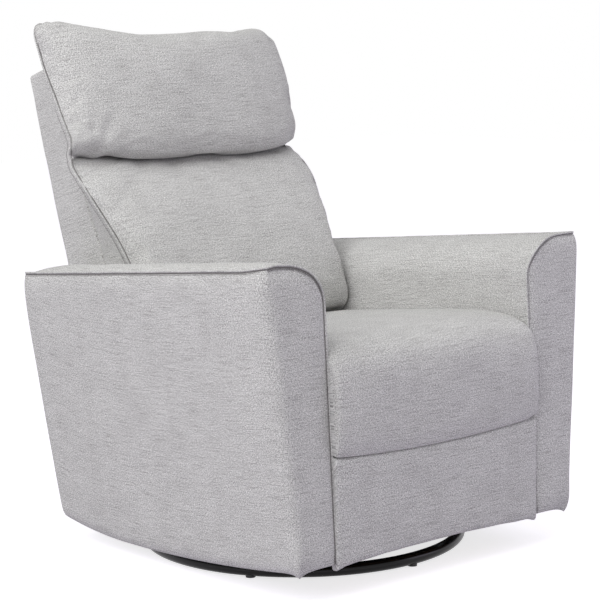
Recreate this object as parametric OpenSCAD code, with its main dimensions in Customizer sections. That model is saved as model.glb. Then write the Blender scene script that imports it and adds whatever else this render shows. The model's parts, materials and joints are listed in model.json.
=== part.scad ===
// Swivel glider recliner. Millimetres, Z up. The origin is on the floor, on the swivel axis.
// The sitter faces -Y and the sitter's left hand is at +X.

/* [Arms] */
// Clear width between the two arms
inner_w = 492; // [460:1:540]
// Height of an arm's top edge at its front
arm_top_z = 567; // [550:1:600]
// How far the arm's top edge falls towards the back
arm_fall = 62; // [40:1:80]
// Width of an arm at its foot
arm_foot_w = 83; // [76:1:110]
// How much further out the arm's top edge is than its foot
arm_flare = 45; // [20:1:60]
// Width of the rolled inner edge of the arm's top
roll_w = 86; // [70:1:95]
// Height of the rolled inner edge of the arm's top
roll_h = 66; // [50:1:80]
// Distance of the arm's front foot from the swivel axis
body_front = 363; // [355:1:385]
// How far back the arm's front edge leans at its top
front_lean = 25; // [5:1:40]
// Distance of the arm's back foot from the swivel axis
body_back = 312; // [305:1:335]
// How far back the arm's back edge leans at its top
back_lean = 38; // [10:1:60]
// Height of the arm's front foot over the floor
foot_front_z = 57; // [45:1:75]
// Height of the arm's back foot over the floor
foot_back_z = 48; // [40:1:70]
// Lowest height of the arm's curved lower edge
belly_z = 32; // [28:1:40]
// Distance of that lowest place behind the swivel axis
belly_y = 80; // [0:1:150]
// Padding on the arm's inner face
pad_in = 10; // [6:1:14]
// Padding on the arm's outer face
pad_out = 12; // [6:1:14]
// Padding on the arm's top
pad_top = 20; // [12:1:28]
// Padding on the arm's front and back ends
pad_end = 12; // [6:1:18]

/* [Frame timber] */
// Thickness of the arms' plywood boards
ply_t = 12; // [9:1:15]
// Height that the arm boards keep over the arm's lower edge
board_rise = 10; // [4:1:20]
// Depth of the arm's front and rear posts
post_d = 40; // [30:1:60]
// Height of the arm's top rail
arm_rail_h = 60; // [40:1:80]
// Thickness of the two base rails
base_rail_t = 20; // [15:1:30]
// Height of the two base rails
base_rail_h = 60; // [45:1:70]
// Height of the base rails' lower edge over the floor
base_rail_z = 62; // [58:1:75]
// Room between the footrest's board and the front base rail
base_clear = 18; // [4:1:20]
// Height of the seat rails
seat_rail_h = 30; // [20:1:35]
// Thickness of the seat's front and rear rails
seat_rail_t = 25; // [18:1:30]
// Width of the seat's side rails
side_rail_w = 36; // [25:1:45]
// Height of the front seat rail, whose top lines up with the side rails
front_rail_h = 84; // [60:1:95]
// Thickness of the rear apron
apron_t = 15; // [10:1:20]

/* [Seat] */
// Height of the seat springs' upper face
seat_base_z = 350; // [340:1:370]
// Height of the seat cushion's crown over its springs
seat_pad_h = 86; // [70:1:110]
// Distance of the seat cushion's nose from the swivel axis
seat_front = 378; // [370:1:395]
// Distance of the seat cushion's rear end behind the swivel axis
seat_rear = 148; // [130:1:150]
// Depth of the padded front that hangs before the front rail
fascia_d = 48; // [40:1:60]
// Height of the padded front's lower edge over the floor
fascia_z = 247; // [235:1:256]
// Rounding at the seat cushion's two sides
seat_edge = 20; // [8:1:30]
// Gap between a cushion's side and the arm beside it
side_gap = 2; // [0.5:0.5:4]

/* [Springs] */
// Wire diameter of the sinuous springs
wire_d = 4; // [3:0.5:5]
// Width of a sinuous spring's loops
loop_w = 50; // [40:1:60]
// Spacing of the loops along a spring
loop_pitch = 38; // [30:1:50]
// Number of springs in the seat and in the back
spring_n = 5; // [3:1:5]

/* [Backrest] */
// Distance of the recline pivot behind the swivel axis
recline_y = 170; // [168:1:185]
// Height of the recline pivot over the floor
recline_z = 330; // [322:1:334]
// Lean of the backrest from upright, in degrees
back_angle = 17.3; // [12:0.1:20]
// Depth from the recline pivot to the backrest's rear face
back_depth = 151; // [140:1:154]
// Depth of the backrest's timber posts
back_post_d = 60; // [45:1:70]
// Width of the backrest's timber posts
back_post_w = 25; // [18:1:35]
// Length of the posts over the recline pivot
back_post_h = 596; // [540:1:640]
// Length of the posts below the recline pivot
back_tail = 45; // [20:1:48]
// Thickness of the fabric panels on the backrest's frame
back_cover_t = 6; // [4:1:8]
// Thickness of the padded panel over the backrest's top
back_cap_t = 14; // [8:1:20]
// Height of the backrest's three cross rails
back_rail_h = 40; // [30:1:50]
// Thickness of the backrest's middle cross rail
mid_rail_t = 20; // [12:1:25]
// Height of the fold between the two back cushions, measured along the back from the pivot
fold_h = 418; // [400:1:440]
// Gap between the two back cushions at the fold
fold_gap = 5; // [1:1:8]
// Length of the head cushion along the back
head_h = 240; // [200:1:260]
// How much higher the head cushion's corners are than its middle
ear_rise = 14; // [0:1:25]
// How far the back cushions reach over each arm
cushion_over = 38; // [24:1:54]
// Thickness of the head cushion at its crown
head_t = 112; // [90:1:130]
// Thickness of the lumbar cushion at its fullest place
lumbar_t = 164; // [140:1:170]
// Height of the lumbar cushion's lower end, measured along the back from the pivot
lumbar_low_z = 52; // [44:1:70]
// Gap between the lumbar cushion's sides and the arms that it sits between
lumbar_gap = 2.6; // [1:0.1:6]

/* [Glide linkage] */
// Distance between the centres of a glide link's two pivots
glide_len = 150; // [130:1:160]
// Distance of the glide pivots before and behind the swivel axis
glide_y = 120; // [100:1:130]
// Height of the upper glide pivots over the floor
glide_top_z = 250; // [240:1:255]
// Thickness of the steel link and bracket plates
plate_t = 5; // [4:0.5:6]
// Width of the glide links
link_w = 32; // [28:1:40]
// Radius of the pivot pins
pin_r = 6; // [5:0.5:7]
// Radius of the pivot pins' heads
head_r = 10; // [9:0.5:12]
// Thickness of the pivot pins' heads
head_h_pin = 3; // [2:0.5:4]
// Half distance between the outer faces of the two deck brackets
deck_half = 141; // [130:1:150]
// Height of the steel glide rails
glide_rail_h = 34; // [28:1:40]
// Wall of the steel glide rails
rail_wall = 4; // [3:0.5:5]
// Width of the glide rails' flange
rail_flange = 22; // [16:1:30]

/* [Footrest linkage] */
// Distance between the centres of a footrest link's two pivots
foot_link_len = 150; // [148:1:156]
// Distance of the footrest's first pivot before the swivel axis
foot_pivot_y = 250; // [246:1:256]
// Height of the footrest's first pivot over the floor
foot_pivot_z = 298; // [294:1:300]
// Distance of the footrest board's pivot before the swivel axis
board_pivot_y = 318; // [314:1:320]
// Height of the footrest board's pivot over the floor
board_pivot_z = 190; // [180:1:200]
// Width of the footrest links
foot_link_w = 24; // [20:1:28]
// Angle that the first links swing through as the footrest opens, in degrees
foot_swing = 108.5; // [100:0.5:110]
// Room between the open footrest's cranked links and the seat's padded front
crank_room = 9; // [4:1:12]
// Diameter of the tube that joins the two upper footrest links
cross_tube_d = 18; // [14:1:22]

/* [Footrest panel] */
// Thickness of the footrest's board
board_t = 14; // [10:1:16]
// Distance of the footrest pad's front face from the swivel axis
foot_front = 366; // [362:1:374]
// Height of the footrest pad's lower edge over the floor
foot_low_z = 57; // [52:1:70]
// Thickness of the footrest's pad
foot_pad_t = 16; // [12:1:22]
// Seam gap between the footrest's pad and the seat over it
seam_gap = 2; // [1:0.5:4]

/* [Swivel base] */
// Radius of the ring's centre line
ring_r = 292; // [280:1:310]
// Diameter of the ring's tube
ring_tube_d = 22; // [18:1:25]
// Thickness of the floor glides under the ring
glide_pad_t = 2; // [1:0.5:3]
// Number of floor glides
glide_pad_n = 6; // [4:1:8]
// Width of the base's spokes
spoke_w = 32; // [25:1:45]
// Height of the base's spokes
spoke_h = 17; // [12:1:18]
// Side of the square bearing plates
bearing_w = 200; // [160:1:240]
// Thickness of the bearing plates
bearing_t = 3; // [2:0.5:4]
// Diameter of the bearing balls
ball_d = 8; // [6:0.5:10]
// Radius of the circle of bearing balls
race_r = 70; // [55:1:75]
// Number of bearing balls
ball_n = 16; // [8:1:20]
// Radius of the king bolt
king_r = 8; // [6:0.5:10]
// Thickness of the deck plate
deck_t = 5; // [4:0.5:8]

/* [Fits] */
// Radial clearance of a pin in its bore
run_fit = 0.05; // [0.02:0.01:0.1]
// Side clearance between two plates that turn on one pin
side_play = 1; // [0.5:0.1:1.2]

/* [Hidden] */
$fn = 48;

// Overrun of a cut past the face that it goes through
cut = 1;
// Arm geometry
inner_x = inner_w / 2;
arm_foot_x = inner_x + arm_foot_w;
arm_top_x = arm_foot_x + arm_flare;
arm_reach = body_front + body_back;
arm_back_z = arm_top_z - arm_fall;
arm_pitch = atan(arm_fall / (arm_reach - front_lean + back_lean));
flare_slope = arm_flare / (arm_top_z - foot_front_z);
outline_steps = 10;
roll_steps = 10;
// Seat geometry
rail_top_z = seat_base_z - wire_d;
fascia_y = fascia_d - seat_front;
plate_x = inner_x - rail_wall;
plate_low_z = foot_pivot_z - 3 * pin_r;
bolt_r = pin_r * 2 / 3;
bolt_shares = [0.3, 0.7];
// Backrest geometry, in the backrest's own frame: Y is depth behind the pivot, Z runs up the back
post_y = back_depth - back_cover_t - back_post_d;
post_x = plate_x - plate_t - side_play;
spring_y = post_y - wire_d;
// Glide layers, from the deck bracket outwards
glide_link_x = deck_half + head_h_pin + 3 * side_play;
glide_rail_x = glide_link_x + plate_t + side_play;
glide_low_z = glide_top_z - glide_len;
// Footrest layers, from the mechanism plate inwards
foot_link_x = plate_x - side_play - plate_t;
elbow_link_x = foot_link_x - side_play - plate_t;
bracket_x = elbow_link_x - side_play - plate_t;
foot_pivot = [-foot_pivot_y, foot_pivot_z];
board_pivot = [-board_pivot_y, board_pivot_z];
pivot_span = norm(board_pivot - foot_pivot);
elbow_half = acos(pivot_span / 2 / foot_link_len);
span_angle = atan2(board_pivot[1] - foot_pivot[1], board_pivot[0] - foot_pivot[0]);
elbow = foot_pivot + foot_link_len * [cos(span_angle + elbow_half), sin(span_angle + elbow_half)];
board_rear_y = -foot_front + foot_pad_t + board_t;
foot_top_z = fascia_z - seam_gap;
elbow_open = foot_pivot + turned(elbow - foot_pivot, -foot_swing);
crank_low_z = fascia_z - crank_room - foot_link_w / 2;
crank_open = [
    [-foot_pivot_y - 1.6 * foot_link_w, crank_low_z + crank_room],
    [elbow_open[0] + foot_link_w, crank_low_z]
];
crank = [for (p = crank_open) foot_pivot + turned(p - foot_pivot, foot_swing)];
cross_tube_share = 2 / 3;
// Base heights, from the floor upwards
tube_r = ring_tube_d / 2;
ring_z = glide_pad_t + tube_r;
spoke_z = glide_pad_t + ring_tube_d - bearing_t - spoke_h;
race_z = spoke_z + spoke_h + bearing_t;
upper_z = race_z + ball_d;
deck_z = upper_z + bearing_t;

// Colours
cloth = "#b9b9b7";
timber = "#c8a878";
plywood = "#b8935f";
black_steel = "#141414";
zinc = "#a8acae";
spring_steel = "#6d7073";
dark_plastic = "#2a2a2a";

// A point in the YZ plane turned about the zero point
function turned(p, a) = [p[0] * cos(a) - p[1] * sin(a), p[0] * sin(a) + p[1] * cos(a)];

// The same piece on both sides of the chair
module both_sides() {
    children();
    mirror([1, 0, 0]) children();
}

// A plate in the YZ plane, from x outwards
module x_plate(x, thickness) {
    translate([x, 0, 0]) rotate([90, 0, 90]) linear_extrude(thickness) children();
}

// A round bar along X, from x outwards, at a point in the YZ plane
module x_rod(x, length, at, r) {
    translate([x, at[0], at[1]]) rotate([0, 90, 0]) cylinder(h = length, r = r);
}

// Outline of a link along a line of points: a bore at each end, its bends mitred
function run_side(path, i) =
    let (run = unit(path[min(i + 1, len(path) - 1)] - path[min(i, len(path) - 2)])) [-run[1], run[0]];
function mitre(path, i) =
    let (a = run_side(path, max(0, i - 1)), b = run_side(path, i)) (a + b) / (1 + a * b);
module link_outline(path, width, bore_r) {
    last = len(path) - 1;
    difference() {
        union() {
            for (p = [path[0], path[last]]) translate(p) circle(d = width);
            polygon(concat(
                [for (i = [0:last]) path[i] + mitre(path, i) * width / 2],
                [for (i = [last:-1:0]) path[i] - mitre(path, i) * width / 2]
            ));
        }
        for (p = [path[0], path[last]]) translate(p) circle(r = bore_r);
    }
}

// A shouldered pin along X: a head at each end of the shank, outside the plates that it holds
module pivot_pin(x, grip, at) {
    x_rod(x - head_h_pin, head_h_pin + grip + head_h_pin, at, pin_r);
    x_rod(x - head_h_pin, head_h_pin, at, head_r);
    x_rod(x + grip, head_h_pin, at, head_r);
}

// A padded form: a profile in the YZ plane that is drawn in towards its two sides. Each profile
// point is [y, z, half width, y drawn in, z drawn in], where the last two are how far the point has
// moved at the sides, and the end faces fan out from the point that fan counts.
form_steps = 9;
function share_across(j) = sin(90 * j / form_steps);
function drawn_share(t, power) = 1 - pow(max(0, 1 - pow(abs(t), power)), 1 / power);
function unit(v) = v / norm(v);
function inward(p, i) =
    let (n = len(p), a = p[(i + n - 1) % n], b = p[(i + 1) % n], d = unit([b[0] - a[0], b[1] - a[1]]))
    [-d[1], d[0]];
function rounded_in(p, edge) = [for (i = [0:len(p) - 1]) concat(p[i], edge * inward(p, i))];
function form_points(p, power) = [
    for (j = [-form_steps:form_steps]) for (i = [0:len(p) - 1])
        let (t = share_across(j), k = drawn_share(t, power))
        [p[i][2] * t, p[i][0] + k * p[i][3], p[i][1] + k * p[i][4]]
];
function form_faces(n, fan) = concat(
    [for (j = [0:2 * form_steps - 1]) for (i = [0:n - 1]) [j * n + i, j * n + (i + 1) % n, (j + 1) * n + i]],
    [for (j = [0:2 * form_steps - 1]) for (i = [0:n - 1])
        [(j + 1) * n + i, j * n + (i + 1) % n, (j + 1) * n + (i + 1) % n]],
    [for (i = [1:n - 2]) [fan, (fan + i + 1) % n, (fan + i) % n]],
    [for (i = [1:n - 2]) [for (k = [fan, (fan + i) % n, (fan + i + 1) % n]) 2 * form_steps * n + k]]
);
module padded_form(p, power, fan) {
    polyhedron(points = form_points(p, power), faces = form_faces(len(p), fan), convexity = 4);
}

// Swivel base
module ring_body(grow) {
    translate([0, 0, ring_z]) rotate_extrude($fn = 96) translate([ring_r, 0]) circle(r = tube_r + grow);
}

module base_ring() {
    color(black_steel) ring_body(0);
}

module ring_glides() {
    color(dark_plastic) difference() {
        for (i = [0:glide_pad_n - 1]) rotate(360 * (i + 0.5) / glide_pad_n)
            translate([ring_r, 0, 0]) cylinder(h = glide_pad_t + tube_r / 3, r = tube_r * 0.8);
        ring_body(run_fit);
    }
}

module base_spokes() {
    color(black_steel) difference() {
        union() {
            for (a = [45, 135]) rotate(a) translate([-ring_r, -spoke_w / 2, spoke_z])
                cube([2 * ring_r, spoke_w, spoke_h]);
        }
        ring_body(run_fit);
        translate([0, 0, spoke_z - cut]) cylinder(h = spoke_h + 2 * cut, r = king_r + run_fit);
    }
}

module bearing_plate() {
    difference() {
        translate([-bearing_w / 2, -bearing_w / 2, 0]) cube([bearing_w, bearing_w, bearing_t]);
        translate([0, 0, -cut]) cylinder(h = bearing_t + 2 * cut, r = king_r + run_fit);
    }
}

module bearing_lower_plate() {
    color(zinc) translate([0, 0, race_z - bearing_t]) bearing_plate();
}

module bearing_balls() {
    color(spring_steel) for (i = [0:ball_n - 1]) rotate(360 * i / ball_n)
        translate([race_r, 0, race_z + ball_d / 2]) sphere(d = ball_d - run_fit);
}

module ball_cage() {
    cage_t = ball_d / 4;
    color(dark_plastic) translate([0, 0, race_z + (ball_d - cage_t) / 2]) difference() {
        cylinder(h = cage_t, r = race_r + ball_d);
        translate([0, 0, -cut]) cylinder(h = cage_t + 2 * cut, r = race_r - ball_d);
        for (i = [0:ball_n - 1]) rotate(360 * i / ball_n)
            translate([race_r, 0, -cut]) cylinder(h = cage_t + 2 * cut, r = ball_d / 2 + run_fit);
    }
}

module king_bolt() {
    color(zinc) {
        translate([0, 0, spoke_z]) cylinder(h = deck_z + deck_t - spoke_z, r = king_r);
        translate([0, 0, spoke_z - bearing_t / 2]) cylinder(h = bearing_t / 2, r = 1.6 * king_r);
        translate([0, 0, deck_z + deck_t + side_play / 2]) cylinder(h = king_r, r = 1.8 * king_r, $fn = 6);
        translate([0, 0, deck_z + deck_t]) cylinder(h = side_play, r = king_r);
    }
}

// The cap keeps the bolt's head off the floor, in the plane of the ring's glides
module bolt_cap() {
    head_z = spoke_z - bearing_t / 2;
    color(dark_plastic) difference() {
        cylinder(h = spoke_z, r = 2.2 * king_r);
        translate([0, 0, head_z]) cylinder(h = spoke_z, r = 1.6 * king_r + run_fit);
    }
}

// Swivel deck
module bearing_upper_plate() {
    color(zinc) translate([0, 0, upper_z]) bearing_plate();
}

module deck_plate() {
    side = deck_half - plate_t;
    color(black_steel) difference() {
        translate([-side, -glide_y, deck_z]) cube([2 * side, 2 * glide_y, deck_t]);
        translate([0, 0, deck_z - cut]) cylinder(h = deck_t + 2 * cut, r = king_r + run_fit);
    }
}

module glide_brackets() {
    tip = glide_y + 0.7 * link_w;
    top = glide_top_z + link_w / 2;
    shoulder = glide_top_z - link_w;
    color(black_steel) both_sides() x_plate(deck_half - plate_t, plate_t) difference() {
        polygon([
            [-glide_y, deck_z], [glide_y, deck_z], [tip, shoulder],
            [tip, top], [-tip, top], [-tip, shoulder]
        ]);
        for (s = [-1, 1]) translate([s * glide_y, glide_top_z]) circle(r = pin_r + run_fit);
    }
}

module deck_pivot_pins() {
    color(zinc) both_sides() for (s = [-1, 1]) {
        at = [s * glide_y, glide_top_z];
        grip = glide_link_x + plate_t - deck_half + plate_t;
        pivot_pin(deck_half - plate_t, grip + run_fit, at);
        x_rod(deck_half, glide_link_x - deck_half - run_fit, at, head_r);
    }
}

// Glide links
module glide_links(y) {
    both_sides() x_plate(glide_link_x, plate_t)
        link_outline([[y, glide_low_z], [y, glide_top_z]], link_w, pin_r + run_fit);
}

module front_glide_links() {
    color(zinc) glide_links(-glide_y);
}

module rear_glide_links() {
    color(zinc) glide_links(glide_y);
}

// Chair body: base rails and glide rails
base_front_y = board_rear_y + base_clear + base_rail_t;
base_rear_y = body_back - apron_t;
module glide_rails() {
    low = glide_low_z - glide_rail_h / 2;
    run = base_rear_y - base_rail_t - base_front_y;
    color(zinc) both_sides() difference() {
        union() {
            translate([glide_rail_x, base_front_y, low]) cube([rail_wall, run, glide_rail_h]);
            translate([glide_rail_x, base_front_y, low]) cube([rail_flange, run, rail_wall]);
        }
        for (s = [-1, 1])
            x_rod(glide_rail_x - cut, rail_wall + 2 * cut, [s * glide_y, glide_low_z], pin_r + run_fit);
    }
}

module glide_pivot_pins() {
    color(zinc) both_sides() for (s = [-1, 1]) {
        at = [s * glide_y, glide_low_z];
        grip = glide_rail_x + rail_wall - glide_link_x;
        pivot_pin(glide_link_x - run_fit, grip + run_fit, at);
        x_rod(glide_link_x + plate_t + run_fit, side_play - run_fit, at, head_r);
    }
}

module base_rail(y) {
    translate([-inner_x, y, base_rail_z]) cube([inner_w, base_rail_t, base_rail_h]);
}

module front_base_rail() {
    color(timber) base_rail(base_front_y - base_rail_t);
}

module rear_base_rail() {
    color(timber) base_rail(base_rear_y - base_rail_t);
}

// The apron closes the body's back below the backrest, whose tail swings clear of it
apron_top_z = recline_z - back_depth / 2;
module rear_apron() {
    straight_z = base_rail_z + base_rail_h;
    color(cloth) x_plate(-inner_x, inner_w) polygon([
        [base_rear_y, foot_back_z], [body_back, foot_back_z], [back_edge_y(apron_top_z), apron_top_z],
        [back_edge_y(apron_top_z) - apron_t, apron_top_z - apron_t / 2], [base_rear_y, straight_z]
    ]);
}

// Chair body: arms, drawn on the right and mirrored to the left
function front_edge_y(z) = -body_front + front_lean * (z - foot_front_z) / (arm_top_z - foot_front_z);
function back_edge_y(z) = body_back + back_lean * (z - foot_back_z) / (arm_back_z - foot_back_z);
function arm_bottom_z(y) = y < belly_y
    ? belly_z + (foot_front_z - belly_z) * pow((belly_y - y) / (belly_y + body_front), 2)
    : belly_z + (foot_back_z - belly_z) * pow((y - belly_y) / (body_back - belly_y), 2);
function arm_outer_x(z) = arm_top_x + z * flare_slope;
arm_over_z = arm_top_z + arm_fall;

// Side view of the arm, with its ends set in and its lower edge moved up
function arm_outline(inset, raise) =
    let (y0 = front_edge_y(foot_front_z + raise) + inset, y1 = back_edge_y(foot_back_z + raise) - inset)
    concat(
        [for (i = [0:outline_steps])
            let (y = -body_front + arm_reach * i / outline_steps)
            [y0 + (y1 - y0) * i / outline_steps, arm_bottom_z(y) + raise]],
        [[back_edge_y(arm_over_z) - inset, arm_over_z], [front_edge_y(arm_over_z) + inset, arm_over_z]]
    );

// Section across the arm, measured down from its top edge, with its faces set in
function arm_section(set_in, set_out, set_top) = concat(
    [[inner_x + set_in, -arm_over_z]],
    [for (i = [0:roll_steps])
        let (a = 90 * i / roll_steps)
        [inner_x + roll_w - (roll_w - set_in) * cos(a), -roll_h + (roll_h - set_top) * sin(a)]],
    [[arm_outer_x(-set_top) - set_out, -set_top], [arm_outer_x(-arm_over_z) - set_out, -arm_over_z]]
);

module along_arm() {
    translate([0, front_edge_y(arm_top_z), arm_top_z]) rotate([-arm_pitch, 0, 0])
        translate([0, 2 * arm_reach, 0]) rotate([90, 0, 0]) linear_extrude(3 * arm_reach) children();
}

module within_arm(inset, raise) {
    intersection() {
        along_arm() children();
        x_plate(0, 2 * arm_top_x) polygon(arm_outline(inset, raise));
    }
}

module arm_cover() {
    difference() {
        within_arm(0, 0) polygon(arm_section(0, 0, 0));
        within_arm(pad_end, -2 * board_rise) polygon(arm_section(pad_in, pad_out, pad_top));
        for (at = bolt_places()) x_rod(inner_x - cut, pad_in + 2 * cut, at, bolt_r + run_fit);
    }
}

module arm_cover_left() {
    color(cloth) arm_cover();
}

module arm_cover_right() {
    color(cloth) mirror([1, 0, 0]) arm_cover();
}

module arm_inner_board() {
    x = inner_x + pad_in;
    difference() {
        within_arm(pad_end, board_rise)
            polygon([[x, -arm_over_z], [x, -roll_h], [x + ply_t, -roll_h], [x + ply_t, -arm_over_z]]);
        for (at = bolt_places()) x_rod(x - cut, ply_t + 2 * cut, at, bolt_r + run_fit);
    }
}

module arm_inner_board_left() {
    color(plywood) arm_inner_board();
}

module arm_inner_board_right() {
    color(plywood) mirror([1, 0, 0]) arm_inner_board();
}

module arm_outer_board() {
    corners = [[-pad_top, 0], [-pad_top, ply_t], [-arm_over_z, ply_t], [-arm_over_z, 0]];
    within_arm(pad_end, board_rise) polygon([for (p = corners) [arm_outer_x(p[0]) - pad_out - p[1], p[0]]]);
}

module arm_outer_board_left() {
    color(plywood) arm_outer_board();
}

module arm_outer_board_right() {
    color(plywood) mirror([1, 0, 0]) arm_outer_board();
}

// Timber between an arm's two boards, from one depth below the arm's top to another
module arm_timber(x, top, bottom) {
    out = pad_out + ply_t + run_fit;
    within_arm(pad_end + run_fit, board_rise) polygon([
        [x, -top], [arm_outer_x(-top) - out, -top], [arm_outer_x(-bottom) - out, -bottom], [x, -bottom]
    ]);
}

module arm_top_rails() {
    color(timber) both_sides()
        arm_timber(inner_x + roll_w - ply_t, pad_top + side_gap, pad_top + arm_rail_h - run_fit);
}

module arm_post() {
    intersection() {
        arm_timber(inner_x + pad_in + ply_t, pad_top + arm_rail_h, arm_over_z);
        x_plate(0, 2 * arm_top_x) children();
    }
}

module arm_front_posts() {
    color(timber) both_sides() arm_post() polygon([
        [front_edge_y(0), 0], [front_edge_y(0) + pad_end + post_d, 0],
        [front_edge_y(arm_over_z) + pad_end + post_d, arm_over_z], [front_edge_y(arm_over_z), arm_over_z]
    ]);
}

module arm_rear_posts() {
    color(timber) both_sides() arm_post() polygon([
        [back_edge_y(0) - pad_end - post_d, 0], [back_edge_y(0), 0],
        [back_edge_y(arm_over_z), arm_over_z], [back_edge_y(arm_over_z) - pad_end - post_d, arm_over_z]
    ]);
}

// Chair body: recliner mechanism plates
plate_front_y = -foot_pivot_y - 3 * pin_r;
plate_rear_y = recline_y + 3 * pin_r;
function bolt_places() = [for (s = bolt_shares)
    [plate_front_y + s * (plate_rear_y - plate_front_y), plate_low_z + 3 * bolt_r]];
module mechanism_plate() {
    x_plate(plate_x, rail_wall) difference() {
        union() {
            translate([plate_front_y, plate_low_z])
                square([plate_rear_y - plate_front_y, rail_top_z - plate_low_z]);
            translate([recline_y, recline_z]) circle(r = 3 * pin_r);
        }
        translate(foot_pivot) circle(r = pin_r + run_fit);
        translate([recline_y, recline_z]) circle(r = pin_r + run_fit);
        for (at = bolt_places()) translate(at) circle(r = bolt_r + run_fit);
    }
}

module mechanism_plate_left() {
    color(zinc) mechanism_plate();
}

module mechanism_plate_right() {
    color(zinc) mirror([1, 0, 0]) mechanism_plate();
}

module plate_bolts() {
    grip = rail_wall + pad_in + ply_t;
    color(zinc) both_sides() for (at = bolt_places()) {
        x_rod(plate_x - bolt_r, bolt_r + grip + bolt_r, at, bolt_r);
        x_rod(plate_x - bolt_r, bolt_r, at, 2 * bolt_r);
        x_rod(plate_x + grip, bolt_r, at, 1.8 * bolt_r);
    }
}

// A pin that is fixed in the mechanism plate and carries one link inside it
module plate_pin(at) {
    head_x = plate_x - side_play - plate_t - head_h_pin;
    x_rod(head_x, plate_x + rail_wall - head_x, at, pin_r);
    x_rod(head_x - run_fit, head_h_pin, at, head_r);
    x_rod(plate_x - side_play + run_fit, side_play - run_fit, at, head_r);
}

module recline_pivot_pins() {
    color(zinc) both_sides() plate_pin([recline_y, recline_z]);
}

module footrest_pivot_pins() {
    color(zinc) both_sides() {
        x_rod(foot_link_x - run_fit, plate_x + rail_wall - foot_link_x + run_fit, foot_pivot, pin_r);
        x_rod(plate_x - side_play + run_fit, side_play - run_fit, foot_pivot, head_r);
    }
}

// Chair body: seat frame, springs and cushion
module seat_front_rail() {
    color(timber) translate([-plate_x, fascia_y, rail_top_z - front_rail_h])
        cube([2 * plate_x, seat_rail_t, front_rail_h]);
}

module seat_rear_rail() {
    x = plate_x - side_rail_w;
    color(timber) translate([-x, seat_rear - seat_rail_t, rail_top_z - seat_rail_h])
        cube([2 * x, seat_rail_t, seat_rail_h]);
}

module seat_side_rails() {
    y = fascia_y + seat_rail_t;
    color(timber) both_sides() translate([plate_x - side_rail_w, y, rail_top_z - seat_rail_h])
        cube([side_rail_w, seat_rear - y, seat_rail_h]);
}

// A flat sinuous spring along Y, from 0 to length, centred on X
module sinuous_spring(length) {
    loops = floor((length - loop_pitch) / loop_pitch);
    pitch = length / (loops + 1);
    side = (loop_w - pitch) / 2;
    linear_extrude(wire_d) {
        for (i = [0:loops - 1]) translate([0, pitch * (i + 0.5)]) {
            translate([-side, 0]) square([2 * side, wire_d]);
        }
        for (i = [0:loops - 2]) {
            s = i % 2 == 0 ? 1 : -1;
            translate([s * side, pitch * (i + 1) + wire_d / 2]) intersection() {
                difference() {
                    circle(r = (pitch + wire_d) / 2);
                    circle(r = (pitch - wire_d) / 2);
                }
                translate([s > 0 ? 0 : -pitch, -pitch]) square([pitch, 2 * pitch]);
            }
        }
        for (end = [0, 1]) {
            y = end == 0 ? 0 : pitch * (loops - 0.5);
            s = end == 0 ? -1 : loops % 2 == 0 ? -1 : 1;
            translate([s * side - wire_d / 2, y]) square([wire_d, length - pitch * (loops - 0.5)]);
        }
    }
}

spring_spread = (2 * (plate_x - side_rail_w) - loop_w) / spring_n;
module spring_row(length) {
    for (i = [0:spring_n - 1]) translate([(i - (spring_n - 1) / 2) * spring_spread, 0, 0])
        sinuous_spring(length);
}

module seat_springs() {
    color(spring_steel) translate([0, fascia_y + seat_rail_t / 2, rail_top_z])
        spring_row(seat_rear - fascia_y - seat_rail_t);
}

// Shares of the seat's depth from its rear end to its nose, and of its height over its springs
seat_top_shares = [[0.003, 0.22], [0.004, 0.4], [0.03, 0.51], [0.09, 0.565], [0.2, 0.65], [0.36, 0.77],
    [0.55, 0.89], [0.72, 0.965], [0.84, 0.965], [0.915, 0.87], [0.965, 0.69], [0.99, 0.42], [1, 0.1]];
seat_power = 4;
module seat_cushion() {
    half = inner_x - side_gap;
    run = seat_rear + seat_front;
    top = [for (s = seat_top_shares) [seat_rear - s[0] * run, seat_base_z + s[1] * seat_pad_h, half]];
    under = [[-seat_front, seat_base_z, half], [fascia_y, seat_base_z, half], [seat_rear, seat_base_z, half]];
    color(cloth) padded_form(rounded_in(concat(top, under), seat_edge / 2), seat_power, len(top) + 1);
}

// Shares of the padded front's depth, forwards, and of its height, downwards
seat_front_shares = [[1, 0], [1, 0.28], [0.985, 0.52], [0.94, 0.76], [0.85, 0.92], [0.68, 1], [0.3, 1],
    [0, 0.92], [0, 0.5], [0, 0]];
module seat_front_pad() {
    half = inner_x - side_gap;
    drop = seat_base_z - fascia_z;
    profile = [for (s = seat_front_shares) [fascia_y - s[0] * fascia_d, seat_base_z - s[1] * drop, half]];
    color(cloth) padded_form(rounded_in(profile, seat_edge / 2), seat_power, len(profile) - 2);
}

// Footrest
module footrest_upper_links() {
    color(zinc) both_sides() x_plate(foot_link_x, plate_t)
        link_outline(concat([foot_pivot], crank, [elbow]), foot_link_w, pin_r + run_fit);
}

module footrest_cross_tube() {
    mid = foot_pivot + cross_tube_share * (crank[0] - foot_pivot);
    color(zinc) x_rod(-foot_link_x, 2 * foot_link_x, mid, cross_tube_d / 2);
}

module footrest_elbow_pins() {
    color(zinc) both_sides() {
        x_rod(elbow_link_x - head_h_pin, foot_link_x + plate_t - elbow_link_x + head_h_pin, elbow, pin_r);
        x_rod(elbow_link_x - head_h_pin - run_fit, head_h_pin, elbow, head_r);
        x_rod(elbow_link_x + plate_t + run_fit, side_play - run_fit, elbow, head_r);
    }
}

module footrest_lower_links() {
    color(zinc) both_sides() x_plate(elbow_link_x, plate_t)
        link_outline([elbow, board_pivot], foot_link_w, pin_r + run_fit);
}

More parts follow.
